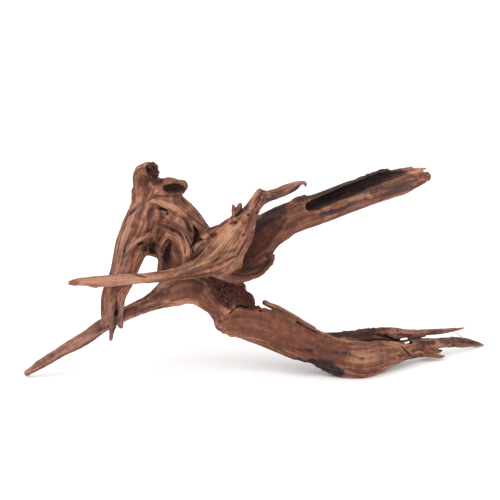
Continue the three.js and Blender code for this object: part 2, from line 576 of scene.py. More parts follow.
@dataclass
class Skin:
    """The wood's skin: its points, the grain that runs through them and the marks on them.

    Attributes:
        points: The points, (n, 3).
        quads: The quads, (m, 4).
        body: The field that the skin was drawn from.
        fibres: Fine, middle and broad noise drawn out along the grain, (n, 3).
        marks: How strongly each point shows each mark, 0 to 1.
        fray: How far a mark's edge frays.
        fray_size: The size of the fraying.
        soft: How far a mark's edge fades, in and out.
    """

    points: np.ndarray
    quads: np.ndarray
    body: WoodField
    fibres: np.ndarray = field(init=False)
    marks: dict[Mark, np.ndarray] = field(init=False)
    fray: float = 2.4
    fray_size: float = 5.0
    soft: float = 2.0

    def __post_init__(self) -> None:
        """Starts with no marks."""
        self.marks = {mark: np.zeros(len(self.points), np.float32) for mark in Mark}

    def normals(self) -> np.ndarray:
        """Works out the outward direction at each point.

        Returns:
            The directions, (n, 3).
        """
        a, b, c, d = (self.points[self.quads[:, k]] for k in range(4))
        faces = np.tile(np.cross(c - a, d - b), (4, 1))
        here = self.quads.T.ravel()
        total = np.stack([np.bincount(here, faces[:, k], len(self.points)) for k in range(3)], 1)
        return total / (np.linalg.norm(total, axis=1, keepdims=True) + 1e-9)

    def relaxed(self, rounds: int, share: float) -> np.ndarray:
        """Evens out the points.

        Args:
            rounds: How many times.
            share: How far a point moves towards its neighbours each time.

        Returns:
            The evened points.
        """
        here = np.concatenate([self.quads[:, k] for k in (0, 1, 2, 3, 0, 1, 2, 3)])
        other = np.concatenate([self.quads[:, k] for k in (1, 2, 3, 0, 3, 0, 1, 2)])
        count = np.bincount(here, minlength=len(self.points))
        points = self.points
        for _ in range(rounds):
            total = [np.bincount(here, points[other, k], len(points)) for k in range(3)]
            points = points + share * (np.stack(total, 1) / count[:, None] - points)
        return points

    def bend(self, rounds: int) -> np.ndarray:
        """Finds how the skin bends over a few cells."""
        return ((self.relaxed(rounds, 0.8) - self.points) * self.normals()).sum(1)

    def mark(self, kind: Mark, form: Limb | Spot, strength: float, edge: Noise) -> None:
        """Marks the skin near a line or a spot.

        Args:
            kind: What the mark shows.
            form: Where it is.
            strength: How strong it is, 0 to 1.
            edge: Noise that frays its edge.
        """
        reach = 5.0
        low, high = form.bounds(reach)
        near = np.where(((self.points > low) & (self.points < high)).all(1))[0]
        here = self.points[near]
        best = np.full(len(near), FAR)
        for _, start, distance in form.parts(0.0):
            best = np.minimum(best, distance(tuple((here - start).T)))
        fray = self.fray * edge.layered(here / self.fray_size, 3, 0.7)
        weight = strength * smooth_step(self.soft, -self.soft, best + fray)
        self.marks[kind][near] = np.maximum(self.marks[kind][near], weight.astype(np.float32))

    def beside(self, depth: float) -> np.ndarray:
        """Reads the body straight above or below the skin."""
        return self.body.read(self.points + self.normals() * depth) / abs(depth)

    def raise_grain(self, relief: "Relief") -> None:
        """Raises and sinks the skin along the grain, less where the wood is thin.

        Args:
            relief: How much.
        """
        height = relief.height(self.fibres, self.points, self.marks)
        depth = 3.5
        thin = smooth_step(0.5, 3.0, -self.beside(-depth) * depth)
        self.points = self.points + self.normals() * (height * (0.35 + 0.65 * thin))[:, None]
        self.points[:, 2] = np.maximum(self.points[:, 2], 0.0)


@dataclass(frozen=True)
class Relief:
    """How high the grain stands.

    Attributes:
        swell: Long low swells.
        flute: Rounded flutes along the grain, with sharp valleys between them.
        fibre: Fine fibres.
        check: Depth of the drying cracks along the grain.
        gnarl: Folds of knotted wood.
        lumpy: Low lumps, most on knotted wood.
        crumb: Lumps of crumbled skin.
    """

    swell: float = 0.36
    flute: float = 0.5
    fibre: float = 0.42
    check: float = 0.7
    gnarl: float = 0.8
    lumpy: float = 0.9
    crumb: float = 1.1

    def height(self, fibres: np.ndarray, points: np.ndarray, marks: dict[Mark, np.ndarray]) -> np.ndarray:
        """Works out the skin's height.

        Args:
            fibres: Fine, middle and broad values drawn out along the grain.
            points: The skin's points.
            marks: The marks on the skin.

        Returns:
            The height at each point.
        """
        rough = 1 - 0.85 * marks[Mark.SMOOTH]
        fine, flute, broad = (np.minimum(np.abs(fibres[:, k]) * 1.4, 1) for k in range(3))
        gate = smooth_step(0.0, 0.35, Noise(13).at(points / 19.0))
        crack = smooth_step(0.12, 0.02, np.abs(fibres[:, 2])) * gate
        lumps = Noise(23).layered(points / 9.0, 2, 0.5)
        crumb = Noise(11).layered(points / 2.4, 2, 0.8)
        total = self.swell * fibres[:, 2] * (0.4 + 0.6 * rough) + self.flute * (flute - 0.7) * rough
        total += self.fibre * (fine - 0.7) * rough - self.check * crack * rough
        total += self.gnarl * (broad - 0.8) * marks[Mark.GNARL]
        total += self.lumpy * lumps * (0.4 + 0.6 * marks[Mark.GNARL])
        return total + self.crumb * crumb * marks[Mark.CRUMB]


class NodeBoard:
    """A material's nodes, placed and joined by short calls."""

    def __init__(self, name: str) -> None:
        """Makes a new material.

        Args:
            name: The material's name.
        """
        self.material = bpy.data.materials.new(name)
        self.material.use_nodes = True
        self.tree = self.material.node_tree
        self.tree.nodes.clear()
        self.column = 0

    def add(self, kind: str, **values: object) -> bpy.types.Node:
        """Adds a node.

        Args:
            kind: The node's type.
            values: Properties, or sockets by name with underscores for spaces.

        Returns:
            The node.
        """
        node = self.tree.nodes.new(kind)
        node.location = (200 * (self.column % 12), -260 * (self.column // 12))
        self.column += 1
        for key, value in values.items():
            if hasattr(node, key):
                setattr(node, key, value)
            else:
                self.feed(node.inputs[key.replace("_", " ")], value)
        return node

    def feed(self, socket: bpy.types.NodeSocket, value: object) -> None:
        """Gives a socket a value or a link.

        Args:
            socket: The input.
            value: A number, a tuple or an output socket.
        """
        if isinstance(value, bpy.types.NodeSocket):
            self.tree.links.new(value, socket)
        else:
            socket.default_value = value

    def attribute(self, name: str, output: str = "Fac") -> bpy.types.NodeSocket:
        """Reads one of the mesh's attributes."""
        return self.add("ShaderNodeAttribute", attribute_name=name).outputs[output]

    def maths(self, what: str, *terms: object) -> bpy.types.NodeSocket:
        """Adds a sum.

        Args:
            what: The operation.
            terms: Its values.

        Returns:
            The result.
        """
        node = self.add("ShaderNodeMath", operation=what)
        for socket, value in zip(node.inputs, terms):
            self.feed(socket, value)
        return node.outputs[0]

    def spread(
        self, value: object, low: float, high: float, first: float = 0.0, last: float = 1.0
    ) -> bpy.types.NodeSocket:
        """Stretches a range of values onto another, and clips it.

        Args:
            value: The value.
            low: Start of the range.
            high: End of the range.
            first: What the start becomes.
            last: What the end becomes.

        Returns:
            The result.
        """
        node = self.add("ShaderNodeMapRange", clamp=True)
        for socket, number in zip(node.inputs, (value, low, high, first, last)):
            self.feed(socket, number)
        return node.outputs[0]

    def noise(self, place: object, size: float, detail: float, rough: float) -> bpy.types.NodeSocket:
        """Adds noise."""
        node = self.add("ShaderNodeTexNoise", Scale=1 / size, Detail=detail, Roughness=rough, Vector=place)
        return node.outputs["Fac"]

    def mix(self, share: object, first: object, second: object) -> bpy.types.NodeSocket:
        """Mixes two colours.

        Args:
            share: How much of the second.
            first: The first colour.
            second: The second colour.

        Returns:
            The mixed colour.
        """
        node = self.add("ShaderNodeMix", data_type="RGBA")
        for number, value in zip((0, 6, 7), (share, first, second)):
            self.feed(node.inputs[number], value)
        return node.outputs[2]

    def finish(self, **values: object) -> bpy.types.Material:
        """Ends the material with its shader.

        Args:
            values: The shader's sockets by name with underscores for spaces.

        Returns:
            The material.
        """
        shader = self.add("ShaderNodeBsdfPrincipled", **values)
        self.add("ShaderNodeOutputMaterial", Surface=shader.outputs["BSDF"])
        return self.material


def linear(red: int, green: int, blue: int) -> tuple[float, float, float, float]:
    """Turns a display colour into a linear one."""
    parts = [value / 255 for value in (red, green, blue)]
    return (*(v / 12.92 if v <= 0.04045 else ((v + 0.055) / 1.055) ** 2.4 for v in parts), 1.0)


@dataclass(frozen=True)
class WeatheredWood:
    """The finish of dry, water-worn root wood.

    A pair of colours is the sunk and the raised grain of a patch.

    Attributes:
        light: Colour of the raised grain.
        middle: Colour of most of the wood.
        deep: Colour of the sunk grain.
        rust: Broad reddish patches.
        dusk: Broad dull patches.
        grey: Washed wood.
        warm: Smooth, worn wood.
        pale: Bleached, rubbed wood.
        raw: Soft red rot, from its pores to its lumps.
        bare: Smooth rot in the hollows.
        char: Black stain.
        shade: Painted shade on wood deep in a hollow.
        painted_crease_shade: Painted shade in creases.
        painted_ridge_highlight: Painted highlight on ridges.
        worn: Painted highlight on thin edges.
    """

    light: tuple = linear(176, 124, 100)
    middle: tuple = linear(130, 80, 62)
    deep: tuple = linear(72, 42, 35)
    rust: tuple = linear(132, 74, 52)
    dusk: tuple = linear(118, 86, 80)
    grey: tuple = (linear(88, 60, 56), linear(144, 105, 94))
    warm: tuple = (linear(80, 46, 36), linear(108, 58, 42))
    pale: tuple = (linear(124, 82, 62), linear(176, 133, 102))
    raw: tuple = (linear(56, 28, 26), linear(94, 47, 39), linear(120, 62, 46))
    bare: tuple = (linear(42, 23, 21), linear(70, 38, 31))
    char: tuple = (linear(38, 27, 30), linear(74, 49, 45))
    shade: tuple = linear(38, 22, 22)
    painted_crease_shade: tuple = linear(46, 24, 22)
    painted_ridge_highlight: tuple = linear(184, 138, 112)
    worn: tuple = linear(158, 112, 90)

    def grain(self, board: NodeBoard, fibres: list, smooth: object, place: object) -> tuple:
        """Colours the sound wood by its grain.

        Args:
            board: The material's board.
            fibres: The fine, middle and broad grain.
            smooth: How smooth the skin is worn.
            place: Where the skin is.

        Returns:
            The grain's tone and the wood's colour.
        """
        fine, streak, broad = fibres
        wide = board.maths("MULTIPLY_ADD", broad, 0.34, board.maths("MULTIPLY", streak, 0.3))
        wide = board.maths("MULTIPLY", wide, board.maths("MULTIPLY_ADD", smooth, -0.6, 1.0))
        tone = board.maths("MULTIPLY_ADD", fine, board.maths("MULTIPLY_ADD", smooth, -0.25, 0.40), wide)
        soft = board.noise(place, 0.0060, 5.0, 0.62)
        tone = board.maths("ADD", tone, board.maths("MULTIPLY_ADD", soft, 3.0, -1.5))
        wood = board.mix(board.spread(tone, -0.9, 0.1), self.deep, self.middle)
        wood = board.mix(board.spread(tone, 0.0, 1.1), wood, self.light)
        dots = board.noise(place, 0.0010, 2.0, 0.6)
        wood = board.mix(board.spread(dots, 0.46, 0.34, 0.0, 0.35), wood, self.deep)
        blotch = board.noise(place, 0.020, 4.0, 0.6)
        wood = board.mix(board.spread(blotch, 0.50, 0.70, 0.0, 0.4), wood, self.rust)
        return tone, board.mix(board.spread(blotch, 0.48, 0.32, 0.0, 0.45), wood, self.dusk)

    def patches(
        self, board: NodeBoard, wood: object, tone: object, marks: dict, broad: object, speck: object
    ) -> bpy.types.NodeSocket:
        """Lays the washed, worn, bleached, rotten and black patches on the wood.

        Args:
            board: The material's board.
            wood: The sound wood's colour.
            tone: The grain's tone.
            marks: The marks' strengths.
            broad: The broad grain.
            speck: Noise of a pore's size.

        Returns:
            The colour.
        """
        grey = board.mix(board.spread(tone, -0.8, 0.8), *self.grey)
        wood = board.mix(board.maths("MULTIPLY", marks[Mark.GREY], 0.8), wood, grey)
        warm = board.mix(board.spread(tone, -0.6, 0.7), *self.warm)
        wood = board.mix(board.maths("MULTIPLY", marks[Mark.SMOOTH], 0.75), wood, warm)
        pale = board.mix(board.spread(tone, -0.9, 0.6), *self.pale)
        wood = board.mix(marks[Mark.PALE], wood, pale)
        pore, rot, lump = self.raw
        raw = board.mix(board.spread(speck, 0.40, 0.60), pore, rot)
        raw = board.mix(board.spread(speck, 0.56, 0.70, 0.0, 0.6), raw, lump)
        bare = board.mix(board.spread(broad, -1.0, 1.0), *self.bare)
        raw = board.mix(board.maths("MULTIPLY", marks[Mark.SMOOTH], 0.85), raw, bare)
        wood = board.mix(marks[Mark.RAW], wood, raw)
        patch = board.maths("MULTIPLY_ADD", speck, 4.0, board.maths("ADD", tone, -2.0))
        return board.mix(marks[Mark.CHAR], wood, board.mix(board.spread(patch, 0.0, 1.4), *self.char))

    def paint_shade_and_highlights(self, board: NodeBoard, wood: object, marks: dict) -> bpy.types.NodeSocket:
        """Paints shade into hollows and creases, and paints highlights on ridges and thin edges.

        Args:
            board: The material's board.
            wood: The colour so far.
            marks: The marks' strengths.

        Returns:
            The colour.
        """
        # Painted shade where other wood closes in over the skin.
        shade = board.spread(board.attribute("hollow"), 0.3, 0.95, 0.0, 0.85)
        wood = board.mix(shade, wood, board.mix(0.75, wood, self.shade))
        # Painted shade in creases.
        crease = board.attribute("crease")
        painted_crease_shade = board.spread(crease, 0.55, 0.88, 0.0, 0.72)
        wood = board.mix(painted_crease_shade, wood, board.mix(0.8, wood, self.painted_crease_shade))
        fresh = board.maths("MULTIPLY_ADD", marks[Mark.RAW], -0.9, 1.0)
        fresh = board.maths("MULTIPLY", fresh, board.maths("MULTIPLY_ADD", marks[Mark.CHAR], -0.8, 1.0))
        # Painted highlight on ridges, weaker on raw rot and black stain.
        painted_ridge_highlight = board.maths("MULTIPLY", board.spread(crease, 0.46, 0.22, 0.0, 0.32), fresh)
        wood = board.mix(painted_ridge_highlight, wood, board.mix(0.6, wood, self.painted_ridge_highlight))
        # Painted highlight on thin edges, weaker on raw rot and black stain.
        edge = board.spread(board.attribute("edge"), 0.5, 0.95, 0.0, 0.2)
        return board.mix(board.maths("MULTIPLY", edge, fresh), wood, self.worn)

    def build(self) -> bpy.types.Material:
        """Makes the material.

        Returns:
            The material.
        """
        board = NodeBoard("weathered_wood")
        parts = board.add("ShaderNodeSeparateXYZ", Vector=board.attribute("fibres", "Vector"))
        fine, _, broad = fibres = list(parts.outputs)
        shown = (Mark.SMOOTH, Mark.GREY, Mark.PALE, Mark.RAW, Mark.CHAR)
        marks = {mark: board.attribute(mark.value) for mark in shown}
        place = board.add("ShaderNodeTexCoord").outputs["Object"]
        speck = board.noise(place, 0.0022, 3.0, 0.7)
        tone, wood = self.grain(board, fibres, marks[Mark.SMOOTH], place)
        wood = self.patches(board, wood, tone, marks, broad, speck)
        wood = self.paint_shade_and_highlights(board, wood, marks)
        height = board.maths("MULTIPLY_ADD", fine, 0.35, board.maths("MULTIPLY", speck, 0.8))
        bump = board.add("ShaderNodeBump", Strength=0.7, Distance=0.0007, Height=height)
        return board.finish(
            Specular_IOR_Level=0.25,
            Base_Color=wood,
            Roughness=board.spread(tone, -0.8, 0.8, 0.88, 0.70),
            Normal=bump.outputs["Normal"],
        )


@dataclass(frozen=True)
class PaleFloor:
    """The finish of the studio floor.

    Attributes:
        colour: The floor's colour.
    """

    colour: tuple = linear(250, 250, 250)

    def build(self) -> bpy.types.Material:
        """Makes the material."""
        board = NodeBoard("pale_floor")
        return board.finish(Base_Color=self.colour, Roughness=0.9, Specular_IOR_Level=0.1)


# The limbs that the wood has grown.
LIMBS = {
    # The trunk: a crown with a broken stub and a cupped knob, above a wishbone of two legs.
    "leg": Limb((
        (-105, -4, 172, 16, 20), (-112, -8, 158, 17, 21), (-118, -14, 144, 17.6, 19),
        (-125, -21, 129, 16.6, 17), (-130, -28, 114, 14.3, 14), (-135.5, -35, 99, 12.8, 12),
        (-143, -41, 83, 11.8, 10), (-144.6, -44, 67, 11, 9), (-145, -46, 57, 9, 7),
    )),
    "arch": Limb((
        (-98, -4, 174, 19, 20), (-88, -6, 161, 19.5, 23), (-78, -9, 143, 26, 24), (-69, -12, 122, 30, 24),
        (-63, -15, 100, 27, 23),
    )),
    "web": Limb(((-112, -12, 145, 15, 16), (-104, -12, 130.5, 13, 15), (-92, -12, 126.5, 12, 15))),
    "crown": Limb((
        (-110.5, -4, 175.5, 15, 18), (-111.5, -3, 185.5, 12, 15), (-113, -5, 193, 11.8, 12),
        (-111.5, -8, 198.5, 11.5, 11), (-107, -11, 202, 8.4, 9),
    ), 5),
    "cup": Limb(((-104, -8, 174, 12, 14), (-92, -12, 182, 10, 12), (-79.5, -16, 186.5, 8, 10))),
    # The middle, with the long toe that reaches the ground on the left.
    "body": Limb((
        (-94, -15, 78, 8, 10), (-80, -16, 84, 16, 19), (-62, -18, 89, 20, 23), (-44, -19, 78, 18.5, 20),
        (-27, -20, 60, 15.5, 16),
    )),
    "toe": Limb((
        (-86, -16, 80, 13, 14), (-110, -19, 68.5, 8, 9), (-130, -23, 61, 6.6, 8), (-153, -28, 49.5, 6.6, 7),
        (-173, -33, 36, 6.4, 6.5), (-195, -37, 25, 5.4, 6), (-214, -41, 14, 4.8, 5),
        (-230, -44, 4, 2.8, 2.8),
    )),
    # The middle's back, and the wood that joins the hollow branch to the front plate.
    "septum": Limb((
        (-42, -28, 104, 10, 16), (-34, -26, 124, 12, 16), (-24, -22, 146, 8, 13), (-15, -18, 157, 4, 9),
    )),
    "branch": Limb((
        (-42, -12, 97, 17, 14), (-20, -8, 115, 20, 13), (-5, -6, 130, 20, 14), (12, -3, 142.5, 17, 15),
        (32, 1, 151.5, 16, 15), (62, 7, 160.5, 15, 15), (92, 14, 170.5, 15, 15), (120, 21, 178.5, 14, 14.5),
        (145, 28, 183, 12, 12.5), (160, 32, 185.5, 8.5, 10), (169, 34, 186.5, 5, 7),
    ), 5),
    "rind_edge": Limb(((10, -8, 119, 3, 7), (17, -6, 128, 3.6, 8), (28, -4, 136.5, 4, 8)), 5),
    "rind": Limb((
        (-22, -8, 108, 12, 9), (-4, -6, 109, 12, 9), (8, -5, 112, 8, 7), (14, -5, 111, 2.4, 4),
    ), 5),
    "sill": Limb((
        (-49, -46, 109, 6, 7), (-30, -42, 102, 4.5, 7), (-12, -34, 100, 3, 7), (2, -25, 102, 2.6, 6),
        (12, -16, 109, 2, 5),
    ), 5),
    # The pointer, and the plate it fans out into in front of the hollow branch.
    "pointer": Limb((
        (-183.5, -60, 101.2, 2.7, 2.6), (-171, -62, 103, 3.9, 4), (-155, -62, 103.5, 5, 5),
        (-142, -62, 104, 5.6, 5.5), (-124, -60, 105, 5, 5), (-106, -58, 105.5, 5, 5),
        (-89, -55, 106.5, 5.6, 5.5), (-75, -52, 109, 7, 7), (-55, -48, 114, 10.5, 8),
        (-37, -44, 120, 14.5, 8), (-25, -40, 125, 16, 8),
    ), 4),
    "front": Limb((
        (-36, -44, 117, 13, 9), (-29, -41, 131, 17, 9), (-18, -36, 147, 14.5, 9), (-9, -31, 162, 9, 8),
        (-1, -27, 174, 5.4, 6), (2.5, -25, 184.5, 2.6, 3),
    ), 4),
    "shoulder": Limb((
        (-60, -26, 122, 8, 8), (-52, -33, 132, 9, 9), (-40, -36, 141, 11, 9), (-23, -33, 155, 7, 8),
    ), 5),
    "peak_left": Limb(((-7, -31, 165, 5, 5), (-4, -29, 177, 3.2, 4), (1.5, -27, 185.5, 2.2, 2.6)), 3),
    "twig": Limb((
        (-2, -26, 172, 5, 5), (10, -22, 179.2, 5.6, 5), (19, -20, 181.8, 4.6, 4.4), (27, -18, 184.6, 5, 4),
        (36, -14, 187.4, 3.8, 3), (43, -12, 190.6, 1.9, 1.9), (46.5, -12, 190.2, 1.6, 1.5),
        (47, -12, 187.6, 1.2, 1.2),
    ), 4),
    "twig_knot": Limb(((4, -26, 183.5, 3, 4), (9.5, -25, 181.5, 3.4, 4), (16.5, -23, 180, 2.6, 3)), 2),
    "saddle": Limb(((-61.5, -26, 150, 5, 7), (-50.5, -30, 145, 5.4, 7), (-42.5, -33, 147.5, 4, 6)), 5),
    "spike": Limb(((-19.5, -36, 162.5, 5, 6), (-18.5, -34, 169, 3.2, 3.2), (-18, -33, 173, 2.5, 2.6)), 3),
    "thorn": Limb(((-22, -36, 164.5, 4, 4), (-24, -35, 170, 2, 2.2), (-24.5, -35, 172.5, 1.7, 1.8)), 2),
    # The broad root that carries the piece on the right.
    "neck": Limb(((-47, -12, 84, 20, 14), (-31, -13, 74, 20, 14), (-16, -16, 61, 15, 14)), 5),
    "plate": Limb((
        (-36, -26, 50, 8, 9), (-24, -29, 51.6, 13.4, 11), (-4, -30, 50.6, 18.8, 11),
        (23, -30, 42, 19.4, 12), (50, -33, 31.8, 16, 12.5), (76, -37, 19.5, 18, 13.5),
        (98, -42, 16.5, 19.5, 14), (123, -24, 16, 15, 12), (147, -4, 15, 9, 8),
    ), 4),
    "hem": Limb(((-39, -22, 58, 7, 8), (-31.5, -24, 48.5, 5.2, 7), (-26, -26, 41.5, 3.2, 5)), 5),
    "hem_right": Limb((
        (-14, -26, 42, 5.4, 7), (4, -30, 34.4, 4.8, 6), (26, -36, 25, 5, 6), (48, -42, 18, 4.4, 6),
    ), 4),
    "lip": Limb((
        (7, -20, 70, 3, 4), (10, -21, 68.5, 2.6, 4), (18, -21, 65, 3, 4), (37, -19, 54, 2.6, 4),
        (57, -16, 42, 1.6, 3),
    ), 2.5),
    "tip": Limb((
        (147.5, 2, 14.5, 10.5, 8), (167, 16, 13, 10, 6), (183, 28, 11, 8, 4.6), (194, 36, 12.5, 5.6, 3.4),
        (212.5, 50, 8.5, 5, 2.6), (226, 60, 4, 2.8, 1.9), (233.5, 67, 1, 1.2, 1.2),
    ), 3),
    "splinter": Limb((
        (135.5, 2, 29, 8, 6), (156.5, 14, 28, 4.6, 3.6), (175.5, 26, 26, 3.4, 2.6), (197, 38, 25, 2.4, 2),
        (212, 47, 25, 1, 1.1),
    ), 2.5),
    "prong": Limb((
        (168.5, 9, 10.5, 5, 4), (179, 12, 6.5, 3, 2.6), (186, 14, 4, 1.7, 1.7), (191, 15, 5.5, 1, 1.1),
    ), 2.5),
    "back_ridge": Limb((
        (42, -12, 38, 5, 7), (68, -9, 30, 5, 8), (97, -4, 30, 7, 9), (127, 4, 30, 9, 8),
        (145, 10, 27, 6, 5),
    ), 4),
    "back_crest": Limb((
        (80.5, -8, 31, 2.6, 5), (94.5, -6, 31.5, 3.4, 5), (109, -3, 34.5, 4.4, 5), (117, -2, 36.5, 2.6, 3),
    ), 2.5),
    "back_hump": Limb((
        (123, 0, 33, 4, 6), (134.5, 2, 35, 4, 5), (145.5, 4, 33, 3, 4), (156, 8, 31, 2, 3),
    ), 2.5),
    # Small growths: the leg's broken prongs, and the rims of the hollow branch.
    "prong_middle": Limb((
        (-144.5, -47, 60, 5, 5), (-144.5, -48, 53, 4.4, 4), (-145, -48, 45.5, 3, 3),
        (-145.5, -48, 40, 2, 2.2),
    ), 2),
    "prong_left": Limb(((-150, -42, 62, 4, 5), (-153, -42, 54, 2.8, 3), (-153, -42, 50, 1.6, 2)), 2),
    "prong_right": Limb(((-138, -44, 63, 4, 4), (-136, -45, 55, 2.8, 2.6), (-135, -45, 52, 1.6, 1.8)), 2),
    "channel_ridge": Limb((
        (88, 10, 172, 2, 3), (112, 15, 179, 2, 3), (144, 23, 187, 1.8, 2.4), (164, 30, 190, 1.2, 2),
    ), 1.5),
    "channel_rib": Limb(((100, 20, 180, 1.2, 3), (124, 26, 187, 1.2, 3), (150, 32, 192, 1, 2)), 1.2),
    "sliver_upper": Limb(((124, 32, 189, 2.6, 3), (140, 34, 192.6, 1.9, 2), (155, 36, 196, 0.9, 1)), 2),
    "sliver_lower": Limb(((148, 34, 191, 2.4, 3), (160, 36, 193.5, 1.8, 2), (169, 37, 194.5, 1, 1)), 2),
    "upper_lip": Limb((
        (40, 4, 163, 2.6, 5), (62, 10, 170.5, 2.8, 5), (92, 18, 180.5, 3.2, 5), (116, 24, 190.5, 3, 4),
        (126, 27, 192.5, 1.6, 3),
    ), 2.5),
    "lower_lip": Limb((
        (58, -8, 160, 3, 4), (74, -6, 164, 3, 4), (96, 0, 169, 3, 4), (124, 8, 178, 2.8, 4),
        (152, 22, 187, 2, 4),
    ), 3),
}

# Thin folds and fibres that lie on the limbs.
FOLDS = {
    # Folds that flow down the trunk and round the slit.
    "fold_top": Limb((
        (-104.5, -26, 173.5, 1, 1), (-94.5, -26, 172, 2.2, 1.7), (-82, -26, 168.5, 2.8, 2),
        (-68, -25, 159, 2.8, 2), (-61.5, -27, 148, 2.8, 2), (-60.5, -29, 138.5, 2.4, 2),
    ), 4.5),
    "fold_mid": Limb((
        (-98.5, -26, 154, 2.6, 2.2), (-85, -33, 152.5, 3, 2.2), (-74, -34, 148, 3, 2.2),
        (-69, -34, 137.5, 2.8, 2), (-68, -35, 126, 2.4, 2), (-69, -36, 116, 2, 1.5),
    ), 4.5),
    "brow": Limb((
        (-134, -38, 124.5, 1.4, 2), (-120, -38, 136, 2.6, 3.6), (-111, -38, 141.5, 3, 4),
        (-104.5, -37, 145, 2.6, 3.6), (-99, -25, 148.5, 1.6, 2),
    ), 4),
    "ring": Limb((
        (-97, -24, 119, 1.4, 2.4), (-97.5, -27, 126, 1.9, 3), (-95, -30, 133.5, 2.4, 3),
        (-88, -32, 141, 2.8, 3), (-80, -32, 138, 2.6, 3), (-75, -34, 128.5, 2.2, 3),
        (-71, -35, 115.5, 1.6, 3),
    ), 4),
    "slit_back": Limb(((-94, -8, 117, 4.6, 8), (-95.5, -8, 107, 4.6, 8), (-95, -8, 94.5, 6, 8)), 3),
    "slab_edge": Limb((
        (-32, -36, 55.5, 1.4, 1.4), (-25, -36, 61.5, 2, 1.8), (-18, -33, 66, 2, 2), (-7, -35, 64, 2, 2),
        (5, -37, 62.5, 1.6, 1.6),
    ), 2.5),
    "layer_edge": Limb((
        (116.5, -30, 31.5, 1.2, 1), (130, -27, 28.5, 1.6, 1.5), (139, -23, 23.5, 1.6, 1.8),
        (145.5, -17, 16.5, 1.6, 1.8), (151, -11, 10, 1.2, 1.4),
    ), 2),
    "string": Limb((
        (-84, -37, 133.5, 1.1, 1.4), (-80, -40, 124, 1.1, 1.4), (-77, -41, 113, 1.2, 1.6),
    ), 1.5),
    # Fibres that sweep from the pointer up to the peak.
    "sweep_upper": Limb((
        (-61, -52, 120, 2.4, 1.7), (-49, -45, 130.5, 2.6, 1.7), (-39.5, -46, 142.5, 2.6, 1.7),
        (-28.5, -43, 154, 2.2, 1.7),
    ), 2.5),
    "sweep_middle": Limb((
        (-78.5, -58, 111.5, 2, 1.7), (-58, -54, 118.5, 3, 1.9), (-41.5, -51, 128, 3.2, 2),
        (-29.5, -47, 141, 3, 1.9), (-18, -42, 156, 2.8, 1.7), (-8, -36, 169.5, 2.6, 1.7),
    ), 2.5),
    "sweep_lower": Limb((
        (-43.5, -54, 112.5, 2, 1.7), (-27.5, -51, 120, 2.4, 1.7), (-20.5, -48, 134, 2.4, 1.7),
        (-10, -42, 150, 2.4, 1.7), (-1, -35, 165.5, 2, 1.4),
    ), 2.5),
    "body_swell": Limb((
        (-85, -35, 87, 2.4, 1.7), (-71, -39, 95.5, 3, 1.7), (-54.5, -39, 92, 2.6, 1.7),
        (-47.5, -39, 78, 2.6, 1.7), (-38.5, -36, 64, 2.4, 1.7),
    ), 3),
}

# Knobs and swellings.
LUMPS = [
    Spot((-120, -8, 180.5), (4, 7, 4)),
    Spot((-108.5, -12, 206.5), (4, 5, 3.4)),
    Spot((-102, -12, 200.5), (4, 6, 4)),
    Spot((-74, -18, 189.5), (4.6, 8, 4.4)),
    Spot((-88, -16, 193.5), (6.5, 7, 4)),
    Spot((-123.5, -18, 166.5), (2.6, 6, 6), -25),
    Spot((42.5, -2, 170), (9, 8, 3.4), 5),
    Spot((126, 22, 194), (7, 5, 3.6), 12),
    Spot((-51, -40, 143.5), (6, 6, 4), 40),
    Spot((-160, -61, 99.5), (4, 3, 2.6)),
    Spot((-9, -14, 74.5), (4, 8, 4)),
    Spot((-15, -14, 85.5), (3, 8, 3)),
]

